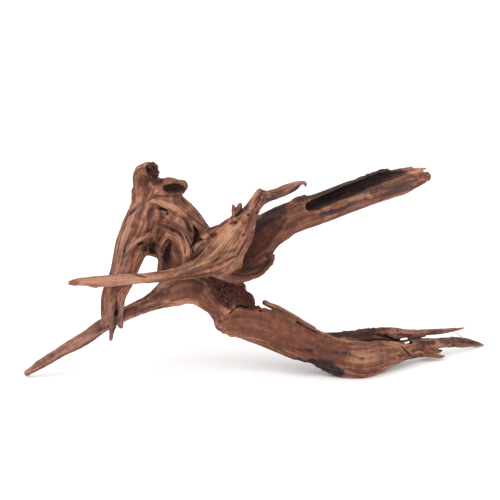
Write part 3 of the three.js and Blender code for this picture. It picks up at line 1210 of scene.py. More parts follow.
# What water, rot and breaking have taken away.
HOLLOWS = {
    "channel": Limb((
        (50.5, -6, 165, 4, 9), (61.5, -3, 168, 5.4, 12), (91.5, 4, 178.5, 6.4, 14),
        (119.5, 11, 187, 6.6, 14), (144, 18, 192.5, 5, 12), (182.5, 28, 200, 4, 9),
    ), 1.4),
    "channel_deep": Limb((
        (53.5, -2, 166, 3, 9), (72, 6, 171, 4, 10), (94, 12, 179, 4, 9), (122, 18, 189, 4, 9),
    ), 1.6),
    "shell": Limb((
        (-16, -28, 114, 9, 12), (-8, -25, 122.5, 13, 13), (2, -22, 134, 13.5, 13), (14, -20, 146.5, 10, 11),
        (25.5, -18, 156.5, 5, 7),
    ), 2.5),
    "shell_low": Limb(((-14, -28, 114, 6, 10), (-2, -24, 111, 6.4, 9), (10, -20, 117, 5, 8)), 2.5),
    "layer_groove": Limb((
        (117, -7, 27, 0.5, 1.2), (131, -18, 29, 0.8, 2), (142, -16, 24, 1, 2.4), (148.5, -13, 17.5, 1, 2.4),
        (155.5, 2, 6.5, 0.8, 2),
    ), 1),
    "cup_mouth": Limb((
        (-89.5, -26, 187, 4.6, 11), (-82.5, -26, 187.5, 5.2, 12), (-76, -27, 187.5, 3.6, 9),
    ), 1.8),
    "stub_cracks": Limb((
        (-110.5, -18, 209, 1, 5), (-106.5, -22, 202.5, 1.2, 5), (-101.5, -20, 196, 1, 4),
    ), 0.8),
    "stub_cracks_right": Limb((
        (-105.5, -16, 211.5, 0.9, 5), (-102.5, -20, 206.5, 1.1, 5), (-98.5, -18, 201, 0.9, 4),
    ), 0.8),
    "crown_neck": Limb(((-100, -16, 195.5, 1.6, 6), (-96.5, -16, 194.5, 2.4, 9)), 1.5),
    "slit": Limb((
        (-86, -36, 135, 1, 6), (-89.5, -36, 126, 3, 12), (-92, -36, 116, 4.6, 15),
        (-94.5, -36, 101.5, 5, 15),
    ), 1.2),
    "fold": Limb((
        (-101, -46, 137.5, 4, 9), (-111, -46, 132.5, 6, 13), (-120, -46, 127.5, 5, 10),
        (-127, -46, 118.5, 2, 5),
    ), 2),
    "fold_back": Limb(((-103.5, -34, 130.5, 3, 12), (-110.5, -34, 127.5, 4, 12)), 2),
    "leg_split": Limb((
        (-139.5, -56, 86.5, 0.9, 6), (-139.5, -57, 79, 2.2, 9), (-140, -58, 69, 2, 9),
        (-140.5, -58, 56.5, 1.4, 8),
    ), 1),
    "leg_notch": Limb(((-148, -46, 55.5, 0.5, 7), (-148.5, -46, 43, 1.3, 9)), 0.6),
    "leg_notch_right": Limb(((-139.5, -46, 56.5, 0.5, 7), (-138, -46, 41, 1.6, 9)), 0.6),
    "rot": Limb((
        (-46.5, -46, 102.5, 3, 8), (-39.5, -46, 96, 6, 12), (-29.5, -44, 88.5, 9, 14),
        (-24, -42, 80, 9, 13), (-10, -40, 74, 4, 10), (0, -38, 69.5, 1.6, 7),
    ), 1.6),
    "rot_low": Limb(((-41.5, -35, 89, 3, 4), (-37.5, -37, 80.5, 4.5, 5), (-32, -36, 74, 5, 5)), 1.6),
    "worm_upper": Limb(((144, 6, 24.5, 1.2, 30), (151.5, 8, 25, 1.3, 30)), 0.8, roll=14),
    "worm_lower": Limb(((146.5, 6, 20, 1.1, 30), (154, 8, 21, 1.2, 30)), 0.8, roll=14),
    "plate_crack": Limb((
        (-34, -32, 57, 0.4, 2), (-27, -34, 64.5, 0.8, 3), (-20, -29, 69, 1.2, 4),
        (-13, -28, 67.5, 1.2, 4.4), (-5, -29, 65.5, 1.1, 4.4), (4, -33, 65.5, 0.9, 4),
    ), 0.7),
    "lip_notch": Limb(((4.5, -24, 67, 1.8, 10), (7, -26, 65, 0.9, 6)), 0.8),
    "lip_groove": Limb((
        (9, -30, 67.5, 0.5, 1.6), (26, -28, 59, 0.8, 2), (43.5, -35, 51.5, 0.8, 2),
        (57.5, -37, 44, 0.6, 1.6),
    ), 0.8),
    "bark_step": Limb(((-114, -26, 174, 0.8, 3), (-121, -26, 166, 1.3, 4), (-129, -22, 158, 1, 4)), 0.8),
    "peak_groove": Limb((
        (3, -32, 187, 1, 3), (2.5, -34, 180, 1.8, 5), (-1, -38, 173, 1.8, 5), (-6, -42, 168, 0.9, 3),
    ), 1),
    "saddle_groove": Limb((
        (-12, -36, 171.5, 1.6, 4), (-18, -40, 166.5, 1.4, 4), (-25.5, -43, 161, 0.9, 3),
    ), 1),
    "side_fold": Limb((
        (-64, -26, 152, 1, 4), (-60, -30, 144.5, 2.2, 8), (-62, -31, 136.5, 2, 7),
        (-66.5, -35, 130.5, 1, 5),
    ), 1),
    "side_hole": Limb(((-58, -33, 137, 1.2, 7), (-52.5, -40, 142.5, 1.3, 7)), 0.9),
    "ridge_gap": Limb((
        (66, -24, 34, 1, 6), (95, -22, 33, 1.4, 7), (125, -10, 31, 1.4, 7), (143, 0, 24, 1, 5),
    ), 1),
    "tip_gap": Limb(((173, 20, 23.5, 0.8, 12), (182, 28, 21.5, 1.5, 12), (197, 38, 19, 2.6, 12)), 0.8),
    "groove_top": Limb((
        (-100.5, -26, 168.5, 0.7, 1.4), (-92.5, -26, 167, 1.1, 1.8), (-83, -28, 163.5, 1.3, 2),
        (-73, -29, 156, 1.4, 2.2), (-67, -32, 146.5, 1.1, 2.4),
    ), 2),
    "groove_mid": Limb((
        (-96.5, -32, 146.5, 0.8, 1.8), (-89, -32, 148.5, 1.1, 2.4), (-79, -34, 145, 1.3, 2.4),
        (-73, -36, 135.5, 1.1, 2.4), (-72, -37, 124.5, 0.7, 1.8),
    ), 1.2),
    "groove_left": Limb((
        (-116.5, -27, 164.5, 0.7, 1.8), (-123, -32, 149.5, 1, 1.8), (-130, -37, 132.5, 1, 1.8),
        (-135, -43, 113.5, 0.7, 1.8),
    ), 1.2),
    "groove_leg": Limb((
        (-128.5, -20, 159, 0.6, 1.4), (-136, -31, 137, 0.8, 1.6), (-142, -40, 111, 0.6, 1.4),
    ), 1.2),
    "groove_arch": Limb((
        (-71, -34, 142, 0.7, 1.8), (-64, -36, 126, 0.8, 1.8), (-63, -51, 120, 0.6, 1.8),
    ), 1.2),
    "groove_sweep_a": Limb((
        (-57, -51, 124, 0.5, 1), (-45.5, -44, 135.5, 0.7, 1.4), (-35.5, -43, 147, 0.8, 1.4),
        (-24.5, -40, 158, 0.6, 1.2),
    ), 1.6),
    "groove_sweep_b": Limb((
        (-45, -53, 119, 0.5, 1), (-33.5, -49, 128.5, 0.7, 1.3), (-24.5, -45, 141.5, 0.8, 1.4),
        (-16, -41, 152.5, 0.7, 1.3),
    ), 1.6),
    "groove_sweep_c": Limb((
        (-70.5, -58, 109, 0.6, 1.4), (-51, -55, 114, 0.8, 1.8), (-33.5, -53, 120.5, 0.8, 1.8),
        (-22.5, -50, 125.5, 0.6, 1.4),
    ), 1),
    "groove_front_d": Limb((
        (-15, -45, 144.5, 0.5, 1), (-7, -38, 155, 0.6, 1.2), (-1, -35, 166.5, 0.5, 1),
    ), 1.4),
    "toe_groove": Limb((
        (-163, -32, 50, 0.6, 1.4), (-179, -33, 42, 1.1, 2), (-199, -37, 29, 1.1, 2),
        (-216.5, -42, 17, 0.6, 1.4),
    ), 1.6),
    "pointer_crease": Limb((
        (-125.5, -59, 110, 0.6, 1.6), (-117.5, -61, 108.5, 0.9, 2.2), (-108.5, -63, 107, 0.6, 1.6),
    ), 0.6),
    "under_bite": Limb((
        (31, -40, 13, 2.6, 7), (40.5, -44, 13.5, 3, 9), (48.5, -46, 11.5, 3, 9), (59.5, -46, 7, 3, 9),
    ), 2),
    "prong_bite": Limb(((186, 20, 8, 2.4, 14), (198, 24, 6, 3, 14)), 0.8),
}

# Small pits.
PITS = [
    Spot((-106.5, -20, 162), (3.6, 3.6, 8.5), -25),
    Spot((-93, -24, 167.5), (4.4, 2.4, 2.2), -8),
    Spot((-85, -26, 159), (3, 2.6, 3.2), -15),
    Spot((-89.5, -28, 163), (1.6, 2, 1.6)),
    Spot((-81, -28, 164), (2.4, 1.6, 1.4), -20),
    Spot((-98.5, -23, 148.5), (1.8, 4, 2), 20),
    Spot((-77, -32, 154.5), (4.4, 3, 1.6), -35),
    Spot((-116, -36, 136), (4, 5, 2.6), 25),
    Spot((-105, -22, 124.5), (3, 6, 4), -10),
    Spot((-19, -41, 147.5), (3, 1.2, 2), 15),
    Spot((-21.5, -41, 156), (2.6, 1.1, 2), 10),
    Spot((-34.5, -37, 156), (4.4, 1.4, 1.8), 22),
    Spot((-50, -44, 140.5), (3, 1.2, 1.4), 30),
    Spot((-43.5, -43, 145), (3.6, 1.2, 1.6), 30),
    Spot((-12, -38, 163), (4, 1.4, 2), 30),
    Spot((-31.5, -40, 164.5), (3, 4, 1.2), 25),
    Spot((59.5, -6, 166.5), (6, 12, 4.4), 18),
    Spot((-140, -48, 68), (2, 4, 3)),
    Spot((-145, -51, 81), (1, 2, 3), 5),
]

# Where the skin has crumbled, how deep and how coarse.
CRUMBS = [
    (Spot((-102.5, -14, 204), (8, 12, 9)), 2.4, 2.6),
    (Spot((-84, -22, 185.5), (10, 8, 6)), 1.6, 2.6),
    (Spot((-74, -18, 189.5), (5, 8, 5)), 1.4, 2.6),
    (Spot((-28, -32, 88), (16, 12, 13), -35), 2.4, 2.4),
    (Spot((-6, -26, 76), (13, 12, 9), -40), 3, 2.8),
    (Spot((-34.5, -36, 79), (8, 8, 11)), 2.2, 2.4),
    (Spot((-6, -36, 102), (14, 8, 4), 8), 1, 2),
    (Spot((2, -29, 104), (12, 12, 5), 25), 1.8, 2.6),
    (Spot((13, -10, 112.5), (6, 12, 9), 30), 1.8, 2.6),
    (Spot((79.5, -8, 165), (26, 6, 6), 20), 0.5, 1.7),
    (Spot((117.5, 3, 175), (26, 6, 5), 18), 0.5, 1.7),
    (Spot((42.5, 0, 172.5), (9, 10, 2.4), 12), 1, 2.4),
    (Spot((-21.5, -34, 171), (6, 5, 6)), 1.4, 2.4),
    (Spot((4, -27, 186.5), (5, 5, 3)), 1.2, 2.4),
    (Spot((115, 0, 35), (34, 8, 5)), 1.6, 3.2),
    (Spot((117, 20, 193.5), (44, 9, 3.6), 15), 1.2, 2.6),
    (Spot((169, 35, 186), (8, 10, 8)), 2, 2.8),
    (Spot((53.5, -42, 13), (22, 12, 4), -25), 1, 2.6),
    (Spot((81.5, -40, 2), (14, 10, 4)), 1.2, 3.4),
    (Spot((-28, -28, 35.5), (18, 10, 5), -20), 1.2, 3.4),
    (Spot((-144.5, -46, 46), (11, 8, 4)), 0.7, 2),
    (Spot((187, 14, 7), (8, 6, 4)), 1, 2.2),
    (Spot((-108.5, -30, 130.5), (12, 12, 7), 25), 1.6, 3.4),
]

# Where a knot turns the grain, and how strongly.
KNOTS = [
    (Spot((-104.5, -26, 163.5), (5, 8, 9)), 0.25),
    (Spot((-87, -28, 162.5), (7, 8, 6)), 0.25),
    (Spot((-19, -41, 147.5), (4, 5, 4)), 0.8),
    (Spot((-20.5, -44, 156.5), (4, 4, 4)), 0.8),
    (Spot((-114.5, -18, 194), (3, 4, 3)), 0.5),
]

# What the skin shows: how strongly, and where.
STAINS = {
    # Bleached fibres and rubbed ridges.
    Mark.PALE: [
        (0.3, Limb((
            (-187, -60, 102, 4, 6), (-106, -60, 106, 5, 7), (-75, -56, 110, 6, 6), (-50, -54, 118, 6, 6),
            (-34, -52, 126, 4, 6),
        ))),
        (0.8, Limb((
            (-58, -56, 119, 3, 5), (-40.5, -52, 129, 5, 5), (-28.5, -48, 141.5, 5, 5),
            (-18, -43, 156, 3, 5),
        ))),
        (0.5, Limb(((-6, -29, 178, 2, 4), (1, -27, 186.5, 2, 4)))),
        (0.85, Limb((
            (9.5, -25, 185, 2, 4), (21.5, -24, 189, 2.2, 4), (31.5, -21, 192.5, 2, 4),
            (41.5, -11, 193.5, 1.6, 4),
        ))),
        (0.6, Limb((
            (65, 7, 163, 3, 5), (91.5, 2, 170, 2.4, 5), (119.5, 6, 178, 2, 5), (146, 21, 185.5, 1.6, 5),
        ))),
        (0.8, Limb((
            (104, 16, 176.5, 1.2, 4), (126, 19, 182, 1.6, 4), (146.5, 22, 188.5, 1.8, 4),
            (167, 31, 192.5, 1.4, 4),
        ))),
        (0.6, Limb(((-84, -37, 133.5, 1.4, 3), (-77, -41, 112, 1.4, 3)))),
        (0.25, Limb(((9, -24, 67, 1.2, 5), (41.5, -35, 52.5, 1.2, 5)))),
        (0.5, Limb(((196.5, 30, 7.5, 1.6, 6), (232.5, 66, 1, 1.6, 6)))),
        (0.4, Spot((-101.5, -21, 186.5), (6, 6, 6))),
        (0.22, Limb(((-131, -30, 145, 7, 7), (-138, -40, 117, 7, 7)))),
        (0.3, Limb(((93, -55, 19, 6, 9), (121, -40, 24.5, 9, 9), (142.5, -19, 22.5, 6, 9)))),
        (0.2, Spot((-118.5, -16, 200.5), (6, 8, 9))),
        (0.25, Limb(((-93.5, -28, 172, 4, 5), (-73, -27, 162.5, 4, 5)))),
        (0.35, Limb(((-52, -45, 128.5, 5, 6), (-35.5, -47, 141, 9, 6), (-20, -42, 158, 8, 6)))),
        # Pale wood and painted highlight on the crown stub's left side.
        (0.45, Spot((-123.5, -9, 202), (6, 8, 9))),
        (0.45, Limb(((-55, -56, 119, 4, 6), (-40.5, -52, 128, 7, 7), (-27.5, -48, 140.5, 5, 6)))),
        (0.5, Limb(((63.5, 4, 176, 1, 5), (75, 9, 180.5, 1.4, 5)))),
        (0.5, Limb(((92, 14, 185.5, 1.2, 5), (101, 15, 188, 1.2, 5)))),
    ],
    # Grey, washed wood.
    Mark.GREY: [
        (0.6, Limb(((7.5, -28, 183, 5, 7), (43.5, -12, 192.5, 5, 7)))),
        (0.45, Limb((
            (-130.5, -25, 154, 9, 12), (-138, -34, 127.5, 12, 14), (-142.5, -66, 100.5, 14, 14),
            (-146, -53, 56, 8, 12),
        ))),
        (0.6, Limb((
            (-99.5, -29, 75, 8, 12), (-136, -49, 65.5, 12, 14), (-177, -39, 37, 12, 12),
            (-231.5, -46, 5.5, 9, 12),
        ))),
        (0.4, Limb(((-97.5, -26, 89, 8, 8), (-77, -37, 85.5, 8, 8)))),
        (0.5, Limb(((71.5, -5, 157.5, 8, 9), (111.5, 6, 168, 7, 9), (154.5, 20, 180, 5, 9)))),
        (0.6, Limb(((159.5, 16, 25, 6, 9), (232.5, 64, 3, 6, 9)))),
        (0.4, Limb(((-52, -54, 105.5, 4, 6), (-13, -42, 100, 4, 8)))),
    ],
    # Smooth, reddish wood.
    Mark.SMOOTH: [
        (1, Limb((
            (-26, -38, 55, 10, 14), (0, -40, 55.5, 16, 14), (26.5, -42, 45, 17, 14),
            (53.5, -45, 32.5, 13, 14), (81, -49, 26.5, 12, 14),
        ))),
        (0.85, Limb((
            (-14, -20, 116, 14, 16), (4, -16, 133.5, 18, 16), (31.5, -8, 152, 16, 14),
            (57.5, -4, 155, 9, 10),
        ))),
        (0.75, Limb((
            (-87, -33, 84.5, 8, 9), (-71, -39, 88, 11, 10), (-53.5, -40, 82.5, 10, 10),
            (-44.5, -33, 64, 9, 10),
        ))),
        (0.35, Limb(((86, -53, 20.5, 12, 14), (116, -45, 24, 13, 14), (134, -29, 21.5, 8, 10)))),
    ],
    # Knotted, folded wood.
    Mark.GNARL: [
        (1, Limb(((-108.5, -20, 175, 12, 18), (-92, -24, 161, 24, 20), (-82, -26, 141, 24, 20)))),
        (0.75, Limb(((-35.5, -42, 144, 16, 14), (-15, -36, 160.5, 14, 14), (-1, -30, 177.5, 9, 12)))),
        (0.6, Limb(((-114, -6, 194, 16, 20), (-87, -12, 187.5, 16, 18)))),
    ],
    # Soft red rot.
    Mark.RAW: [
        (0.7, Limb(((114, 21, 181, 1.4, 4), (132.5, 25, 186.5, 1.8, 4), (150.5, 29, 191, 1.4, 4)))),
        (0.6, Limb(((-88, -32, 127, 3, 12), (-92.5, -26, 99, 4.6, 20)))),
        (1, Limb((
            (-48, -36, 99, 4, 12), (-38, -36, 93, 8, 13), (-26, -34, 86, 12, 14), (-10, -28, 74, 9, 14),
            (4, -26, 70, 3, 8),
        ))),
        (0.9, Limb((
            (-22, -20, 112, 6, 14), (-15, -20, 118, 9, 14), (-4, -18, 133, 8, 14), (6, -18, 148, 5, 12),
        ))),
        (0.65, Limb((
            (-20, -20, 112, 7, 14), (-10, -20, 116, 12, 14), (3, -18, 131, 11, 14), (14, -18, 148, 7, 12),
        ))),
        (0.35, Limb((
            (-18, -20, 112, 8, 14), (-5, -20, 116, 15, 14), (8, -18, 131, 14, 14), (20.5, -18, 149, 9, 12),
        ))),
        (0.6, Spot((-85, -18, 187.5), (17, 14, 9))),
        (0.15, Spot((-117.5, -10, 199), (9, 12, 13))),
        (1, Limb(((-40.5, -40, 86.5, 6, 9), (-34.5, -40, 78, 8, 9), (-28, -40, 74, 7, 9)))),
        (0.8, Limb((
            (-31.5, -50, 102, 3, 6), (-18, -44, 101, 4, 6), (-6, -36, 101.5, 4, 7), (4, -30, 104, 5, 8),
            (12, -19, 110.5, 5, 9), (15, -7, 117, 5, 9), (22, -13, 129.5, 3, 8),
        ))),
        (0.8, Spot((-59.5, -41, 91), (6, 8, 6.5))),
        (0.6, Spot((-19, -41, 147.5), (4, 5, 3), 15)),
        (0.6, Spot((-21.5, -41, 156), (3.4, 5, 3), 10)),
        (0.6, Spot((-34.5, -37, 156), (5, 5, 2.6), 22)),
        (0.5, Spot((-43.5, -43, 145), (4.4, 5, 2.6), 30)),
        (0.75, Spot((-85, -29, 159.5), (3.6, 6, 3.6))),
        (0.6, Spot((-93, -21, 166.5), (4.4, 5, 2.2), -8)),
        (0.5, Limb(((-96.5, -29, 155, 2, 5), (-88.5, -33, 152, 2.4, 5), (-79, -36, 149.5, 2.4, 5)))),
        (0.9, Limb(((-104.5, -14, 207, 5, 10), (-101.5, -16, 200.5, 5, 10)))),
        (0.6, Limb(((-100, -24, 119, 3, 7), (-99, -57, 111, 3, 8)))),
        (0.22, Limb(((-143.5, -49, 91, 9, 10), (-145, -52, 55, 8, 10)))),
        (0.9, Limb(((-90.5, -24, 187, 5, 9), (-76, -24, 188, 6, 9)))),
        (0.8, Spot((-106.5, -27, 163.5), (4, 8, 8.5), -25)),
        (0.6, Limb(((-116.5, -36, 132, 5, 9), (-103, -30, 128.5, 7, 12)))),
        (0.6, Limb(((-62.5, -28, 147.5, 3, 6), (-60.5, -30, 136, 3, 6)))),
        (0.6, Limb(((13.5, -27, 181.5, 2, 4), (23.5, -22, 185.5, 1.6, 4), (33.5, -17, 188.5, 1.4, 4)))),
    ],
    # Black and purple stain.
    Mark.CHAR: [
        (0.5, Spot((-73, -18, 188.5), (4, 8, 6))),
        (0.4, Spot((-106.5, -27, 164.5), (2.4, 8, 6), -25)),
        (1, Limb((
            (50.5, 0, 165.5, 5, 12), (64, 4, 169.5, 6, 14), (92, 10, 181.5, 9, 14), (120, 16, 190.5, 9, 14),
            (144, 22, 195, 6, 12),
        ))),
        (0.95, Limb((
            (5, -12, 160, 3, 9), (22, -8, 164.5, 4, 9), (33.5, -4, 172.5, 2, 9), (44.5, -2, 174.5, 2.6, 9),
            (61.5, 4, 175.5, 4, 12), (82, 10, 182.5, 6, 14), (112, 16, 192.5, 6.4, 14),
            (142, 22, 198.5, 5, 14),
        ))),
        (0.8, Limb(((-2, -18, 148, 4, 9), (10, -14, 154.5, 7, 9), (23.5, -10, 162.5, 6, 9)))),
        # Black stain and painted shade in the gap behind the front plate's right edge.
        (0.75, Limb(((-20, -24, 113, 4, 10), (-15, -24, 127, 5, 10), (-6, -20, 140.5, 4, 9)))),
        (0.55, Spot((33.5, -13, 147), (7, 8, 4), 30)),
        (0.6, Limb(((41.5, -7, 156, 2.4, 5), (57.5, -1, 160.5, 2.4, 5)))),
        (0.75, Limb((
            (63.5, -8, 159, 2.4, 6), (77.5, -4, 161.5, 4.4, 6), (89.5, -2, 166.5, 3, 6),
            (107.5, 3, 172, 2, 6),
        ))),
        (0.7, Limb(((113.5, 5, 176.5, 2, 5), (140, 14, 183.5, 3, 5), (154.5, 25, 187.5, 2.4, 5)))),
        (0.6, Spot((168.5, 36, 187), (5, 9, 7))),
        (0.8, Limb(((-87, -34, 131.5, 2, 10), (-89.5, -28, 118, 3.6, 20), (-92.5, -26, 99, 4.6, 20)))),
        (0.85, Limb(((-140, -52, 83.5, 1.4, 6), (-140, -52, 71.5, 3, 6), (-140.5, -50, 50.5, 4, 6)))),
        (0.7, Limb(((-154.5, -42, 49, 4, 6), (-137.5, -45, 51, 4, 5)))),
        (1, Limb((
            (28, -36, 17.5, 3, 12), (41.5, -40, 15.5, 4, 12), (57.5, -44, 13.5, 5, 14),
            (69.5, -46, 11, 8, 14), (79.5, -46, 7, 6, 14),
        ))),
        (0.85, Limb(((70, -14, 34, 2, 9), (92.5, -10, 34.5, 4, 9), (115, -4, 37, 4, 9)))),
        (0.95, Limb((
            (119, -8, 23.5, 3, 8), (137.5, 4, 23.5, 5, 9), (156.5, 12, 21, 4, 9), (175.5, 24, 17.5, 3, 8),
        ))),
        (0.55, Limb(((127, 0, 30, 4, 8), (164.5, 18, 27, 3, 8), (212, 46, 25, 2, 6)))),
        (0.7, Limb(((186, 30, 17, 4, 7), (228, 60, 5, 3, 6)))),
        (0.5, Limb(((187, 14, 4.5, 4, 5), (192.5, 15, 6.5, 3, 5)))),
        (0.55, Limb(((0, -36, 172.5, 2, 5), (3, -32, 185, 1.6, 5)))),
        (0.55, Limb(((-21.5, -36, 166.5, 4, 6), (-12, -36, 170.5, 3, 5)))),
        (0.8, Limb((
            (9.5, -27, 176.5, 2.4, 4), (19.5, -24, 179.5, 2.6, 4), (30.5, -20, 183, 2.6, 4),
            (39.5, -16, 187.5, 2, 4),
        ))),
        (0.6, Limb(((4, -27, 187, 1.6, 4), (7.5, -29, 182, 2, 4), (4, -30, 176.5, 1.6, 4)))),
        (0.5, Spot((5, -27, 186.5), (5, 5, 2))),
        (0.9, Spot((-55.5, -34, 140.5), (4, 7, 3), 25)),
        (0.7, Spot((-104, -24, 125), (4, 9, 5))),
        (0.7, Limb(((-126.5, -22, 163.5, 1.6, 5), (-115.5, -24, 173, 1.6, 5)))),
        (0.4, Limb(((-128, -38, 128.5, 4, 6), (-132, -41, 117, 4, 6)))),
        (0.45, Spot((-103.5, -16, 206.5), (6, 10, 7))),
        (0.7, Spot((-84, -20, 185.5), (8, 8, 5))),
        (1, Limb(((40.5, -43, 28.5, 0.8, 3), (52.5, -45, 28, 1, 3)))),
        (1, Limb(((75, -49, 27.5, 0.9, 3), (87, -52, 26.5, 1.1, 3)))),
        (1, Limb(((91, -53, 26, 0.9, 3), (102.5, -54, 22, 0.9, 3)))),
        (0.35, Spot((-179, -64, 102), (5, 5, 3))),
        (0.7, Limb(((-37.5, -51, 128.5, 0.4, 3), (-28.5, -51, 130, 0.6, 3), (-20.5, -48, 132.5, 0.4, 3)))),
        (0.3, Limb(((-40.5, -40, 86.5, 2, 8), (-35.5, -40, 76, 3, 8), (-26, -40, 74, 3, 8)))),
    ],
}


def shape(name: str, points: object, faces: object, finish: bpy.types.Material) -> bpy.types.Mesh:
    """Makes a mesh of one material.

    Args:
        name: The mesh's name.
        points: Its points, in metres.
        faces: The numbers of each face's points.
        finish: The material.

    Returns:
        The mesh.
    """
    mesh = bpy.data.meshes.new(name)
    mesh.from_pydata(points, [], faces)
    mesh.validate()
    mesh.materials.append(finish)
    return mesh


def link(name: str, data: bpy.types.ID) -> bpy.types.Object:
    """Puts an object into the scene.

    Args:
        name: The object's name.
        data: Its mesh, lamp or camera.

    Returns:
        The object.
    """
    thing = bpy.data.objects.new(name, data)
    bpy.context.scene.collection.objects.link(thing)
    return thing


@dataclass
class Driftwood:
    """The whole piece.

    Attributes:
        box: The CAD node's lowest and highest corners, in metres.
        cell: Size of the field's cells.
        air: Room that the field leaves round the box.
        margin: Room that it leaves under the ground, and the grain past the skin.
        lump_melt: How far a lump melts into the wood.
        lump_reach: How far from its skin a lump is felt.
        pit_melt: How rounded a pit's edge is.
        open_reach: How far out of the skin a hollow is looked for.
        thin_reach: How far into the skin a thin edge is looked for.
    """

    box: tuple
    cell: float
    air: float = 14.0
    margin: float = 6.0
    lump_melt: float = 4.0
    lump_reach: float = 8.0
    pit_melt: float = 1.6
    open_reach: float = 9.0
    thin_reach: float = 3.0

    @property
    def scale(self) -> float:
        """Metres for one of the stations' millimetres."""
        return (self.box[1][0] - self.box[0][0]) / DRAWN_LENGTH

    def grow(self) -> WoodField:
        """Melts the limbs together and carves the hollows.

        Returns:
            The body.
        """
        low = np.array(self.box[0]) / self.scale - self.air
        high = np.array(self.box[1]) / self.scale + self.air
        low[2] = -self.margin
        body = WoodField(low, high, self.cell)
        for limb in [*LIMBS.values(), *FOLDS.values()]:
            body.add(limb, limb.melt, body.reach)
        for lump in LUMPS:
            body.add(lump, self.lump_melt, self.lump_reach)
        for hollow in HOLLOWS.values():
            body.carve(hollow, hollow.melt)
        for pit in PITS:
            body.carve(pit, self.pit_melt)
        for spot, depth, size in CRUMBS:
            body.crumble(spot, depth, size, Noise(21))
        body.stand()
        return body

    def dress(self, skin: Skin) -> None:
        """Lays the grain and the marks.

        Args:
            skin: The skin to dress.
        """
        flow = GrainFlow(skin.body.low, skin.points.max(0) + self.margin)
        flow.follow([*LIMBS.values(), *FOLDS.values()], KNOTS)
        layers = [(Noise(5), 1.3, 9, 1), (Noise(7), 3.4, 16, 2), (Noise(9), 7.5, 20, 4)]
        skin.fibres = flow.smear(skin.points, layers)
        for kind, stains in STAINS.items():
            for strength, form in stains:
                skin.mark(kind, form, strength, Noise(17))
        for spot, _, _ in CRUMBS:
            skin.mark(Mark.CRUMB, spot, 1.0, Noise(19))

    def build(self) -> bpy.types.Object:
        """Makes the piece.

        Returns:
            The finished object.
        """
        body = self.grow()
        skin = Skin(*body.skin(), body)
        skin.points = skin.relaxed(1, 0.6)
        self.dress(skin)
        # hollow, high where other wood lies close outside the skin, sets the painted hollow shade; edge, high
        # where the wood is thin, sets the painted highlight on thin edges.
        looks = {
            "hollow": np.clip(1 - skin.beside(self.open_reach), 0, 1),
            "edge": np.clip(1 + skin.beside(-self.thin_reach), 0, 1),
        }
        skin.raise_grain(Relief())
        # crease is high in concave skin and low on convex skin; it sets the painted crease shade and the
        # painted ridge highlight.
        looks["crease"] = np.clip(0.5 + 0.9 * skin.bend(2) + 0.25 * skin.bend(10), 0, 1)
        looks |= {mark.value: values for mark, values in skin.marks.items()}
        mesh = shape("driftwood_skin", skin.points * self.scale, skin.quads, WeatheredWood().build())
        mesh.shade_smooth()
        self.store(mesh, "fibres", skin.fibres)
        for name, values in looks.items():
            self.store(mesh, name, values)
        piece = link("driftwood_wood", mesh)
        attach(piece, "root")
        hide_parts("driftwood")
        LOG.info("driftwood: %d points, %d faces", len(skin.points), len(skin.quads))
        return piece

    @staticmethod
    def store(mesh: bpy.types.Mesh, name: str, values: np.ndarray) -> None:
        """Stores values on the mesh's points.

        Args:
            mesh: The mesh.
            name: The attribute's name.
            values: One value or vector a point.
        """
        kind, key = ("FLOAT_VECTOR", "vector") if values.ndim == 2 else ("FLOAT", "value")
        layer = mesh.attributes.new(name, kind, "POINT")
        layer.data.foreach_set(key, np.ascontiguousarray(values, np.float32).ravel())


@dataclass
class LooseFibre:
    """A hair-thin fibre that has sprung off the splintered tip.

    Attributes:
        ends: Its ends, in millimetres.
        rise: How far its middle stands over the straight line between them.
        radius: Its half-width.
        steps: How many lengths it is made of.
        sides: How many sides its section has.
    """

    ends: tuple = ((201.0, 40.0, 22.0), (212.5, 48.0, 11.5))
    rise: float = 1.6
    radius: float = 0.55
    steps: int = 12
    sides: int = 6

    def build(self, scale: float) -> bpy.types.Object:
        """Makes the fibre.

        Args:
            scale: Metres for a millimetre.

        Returns:
            The finished object.
        """
        share = np.linspace(0, 1, self.steps + 1)[:, None]
        first, last = np.array(self.ends)
        path = first + share * (last - first) + np.array([0, 0, self.rise]) * 4 * share * (1 - share)
        along = (last - first) / np.linalg.norm(last - first)
        side = np.cross(along, (0, 0, 1))
        side /= np.linalg.norm(side)
        over = np.cross(side, along)
        turn = 2 * np.pi * np.arange(self.sides)[None, :, None] / self.sides
        rings = path[:, None] + self.radius * (np.cos(turn) * side + np.sin(turn) * over)
        number = np.arange((self.steps + 1) * self.sides).reshape(-1, self.sides)
        beside = np.roll(number, -1, axis=1)
        walls = np.stack([number[:-1], beside[:-1], beside[1:], number[1:]], -1).reshape(-1, 4)
        faces = [*walls.tolist(), number[0, ::-1].tolist(), number[-1].tolist()]
        finish = bpy.data.materials["weathered_wood"]
        mesh = shape("loose_fibre", rings.reshape(-1, 3) * scale, faces, finish)
        # The crease value lays painted crease shade along the whole fibre.
        for name, value in ((Mark.CHAR.value, 0.9), ("crease", 0.7)):
            Driftwood.store(mesh, name, np.full(len(mesh.vertices), value))
        piece = link("loose_fibre", mesh)
        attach(piece, "root")
        LOG.info("loose fibre: %d faces", len(faces))
        return piece


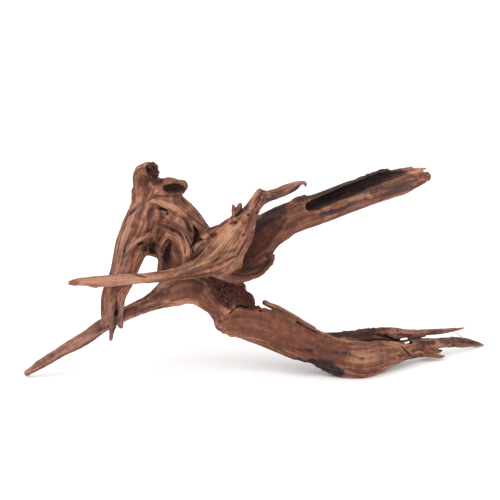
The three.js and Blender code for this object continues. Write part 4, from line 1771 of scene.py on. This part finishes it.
@dataclass
class Studio:
    """The floor, the lights and the camera.

    Attributes:
        aim: The point that the camera looks at, in millimetres.
        rise: The camera's angle above the horizon, in degrees.
        away: The camera's distance from the aim, in millimetres.
        lens: The camera's focal length, in millimetres.
        sensor: The width of the camera's sensor, in millimetres.
        sight: How far the camera sees, in metres.
        sheet: Half the floor's side, in metres.
        glow: Strength of the light from all round.
    """

    aim: tuple[float, float, float] = (-8.0, 0.0, 119.19)
    rise: float = 14.0
    away: float = 2500.0
    lens: float = 180.0
    sensor: float = 36.0
    sight: float = 50.0
    sheet: float = 6.0
    glow: float = 1.05

    def floor(self) -> None:
        """Lays the floor."""
        corners = [(x * self.sheet, y * self.sheet, 0) for x, y in ((-1, -1), (1, -1), (1, 1), (-1, 1))]
        link("floor", shape("floor_sheet", corners, [(0, 1, 2, 3)], PaleFloor().build()))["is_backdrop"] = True

    def lamp(self, name: str, place: tuple, size: float, power: float) -> None:
        """Hangs a soft square lamp that faces the piece.

        Args:
            name: The lamp's name.
            place: Where it hangs, in metres.
            size: Its side, in metres.
            power: Its power, in watts.
        """
        light = bpy.data.lights.new(name, "AREA")
        light.size, light.energy = size, power
        lamp = link(name, light)
        lamp.location = place
        toward = Vector((0, 0, 0.1)) - Vector(place)
        lamp.rotation_euler = toward.to_track_quat("-Z", "Y").to_euler()

    def light(self) -> None:
        """Lights the studio."""
        world = bpy.data.worlds.new("studio_air")
        world.use_nodes = True
        air = world.node_tree.nodes["Background"].inputs
        air["Color"].default_value = (1, 1, 1, 1)
        air["Strength"].default_value = self.glow
        bpy.context.scene.world = world
        self.lamp("key", place=(-1.1, -1.2, 2.2), size=3.0, power=40)
        self.lamp("fill", place=(1.6, -1.8, 1.1), size=1.6, power=9)
        bpy.context.scene.view_settings.view_transform = "Standard"

    def camera(self, scale: float) -> None:
        """Sets the camera.

        Args:
            scale: Metres for a millimetre.
        """
        lens = bpy.data.cameras.new("camera")
        lens.lens, lens.sensor_width, lens.clip_end = self.lens, self.sensor, self.sight
        view = link("camera", lens)
        rise = math.radians(self.rise)
        back = Vector((0, -math.cos(rise), math.sin(rise))) * self.away * scale
        view.location = Vector(self.aim) * scale + back
        view.rotation_euler = (-back).to_track_quat("-Z", "Y").to_euler()
        bpy.context.scene.camera = view


def main() -> None:
    """Builds everything in order."""
    logging.basicConfig(level=logging.INFO, format="%(name)s: %(message)s")
    wood = Driftwood(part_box("driftwood"), FINE_CELL)
    wood.build()
    LooseFibre().build(wood.scale)
    studio = Studio()
    studio.floor()
    studio.light()
    studio.camera(wood.scale)
    LOG.info("studio: floor, lamps and camera")
    bounds = {"cad": CAD_BOX, "visual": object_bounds()}
    plain = {key: [[float(v) for v in corner] for corner in box] for key, box in bounds.items()}


if __name__ == "__main__":
    main()
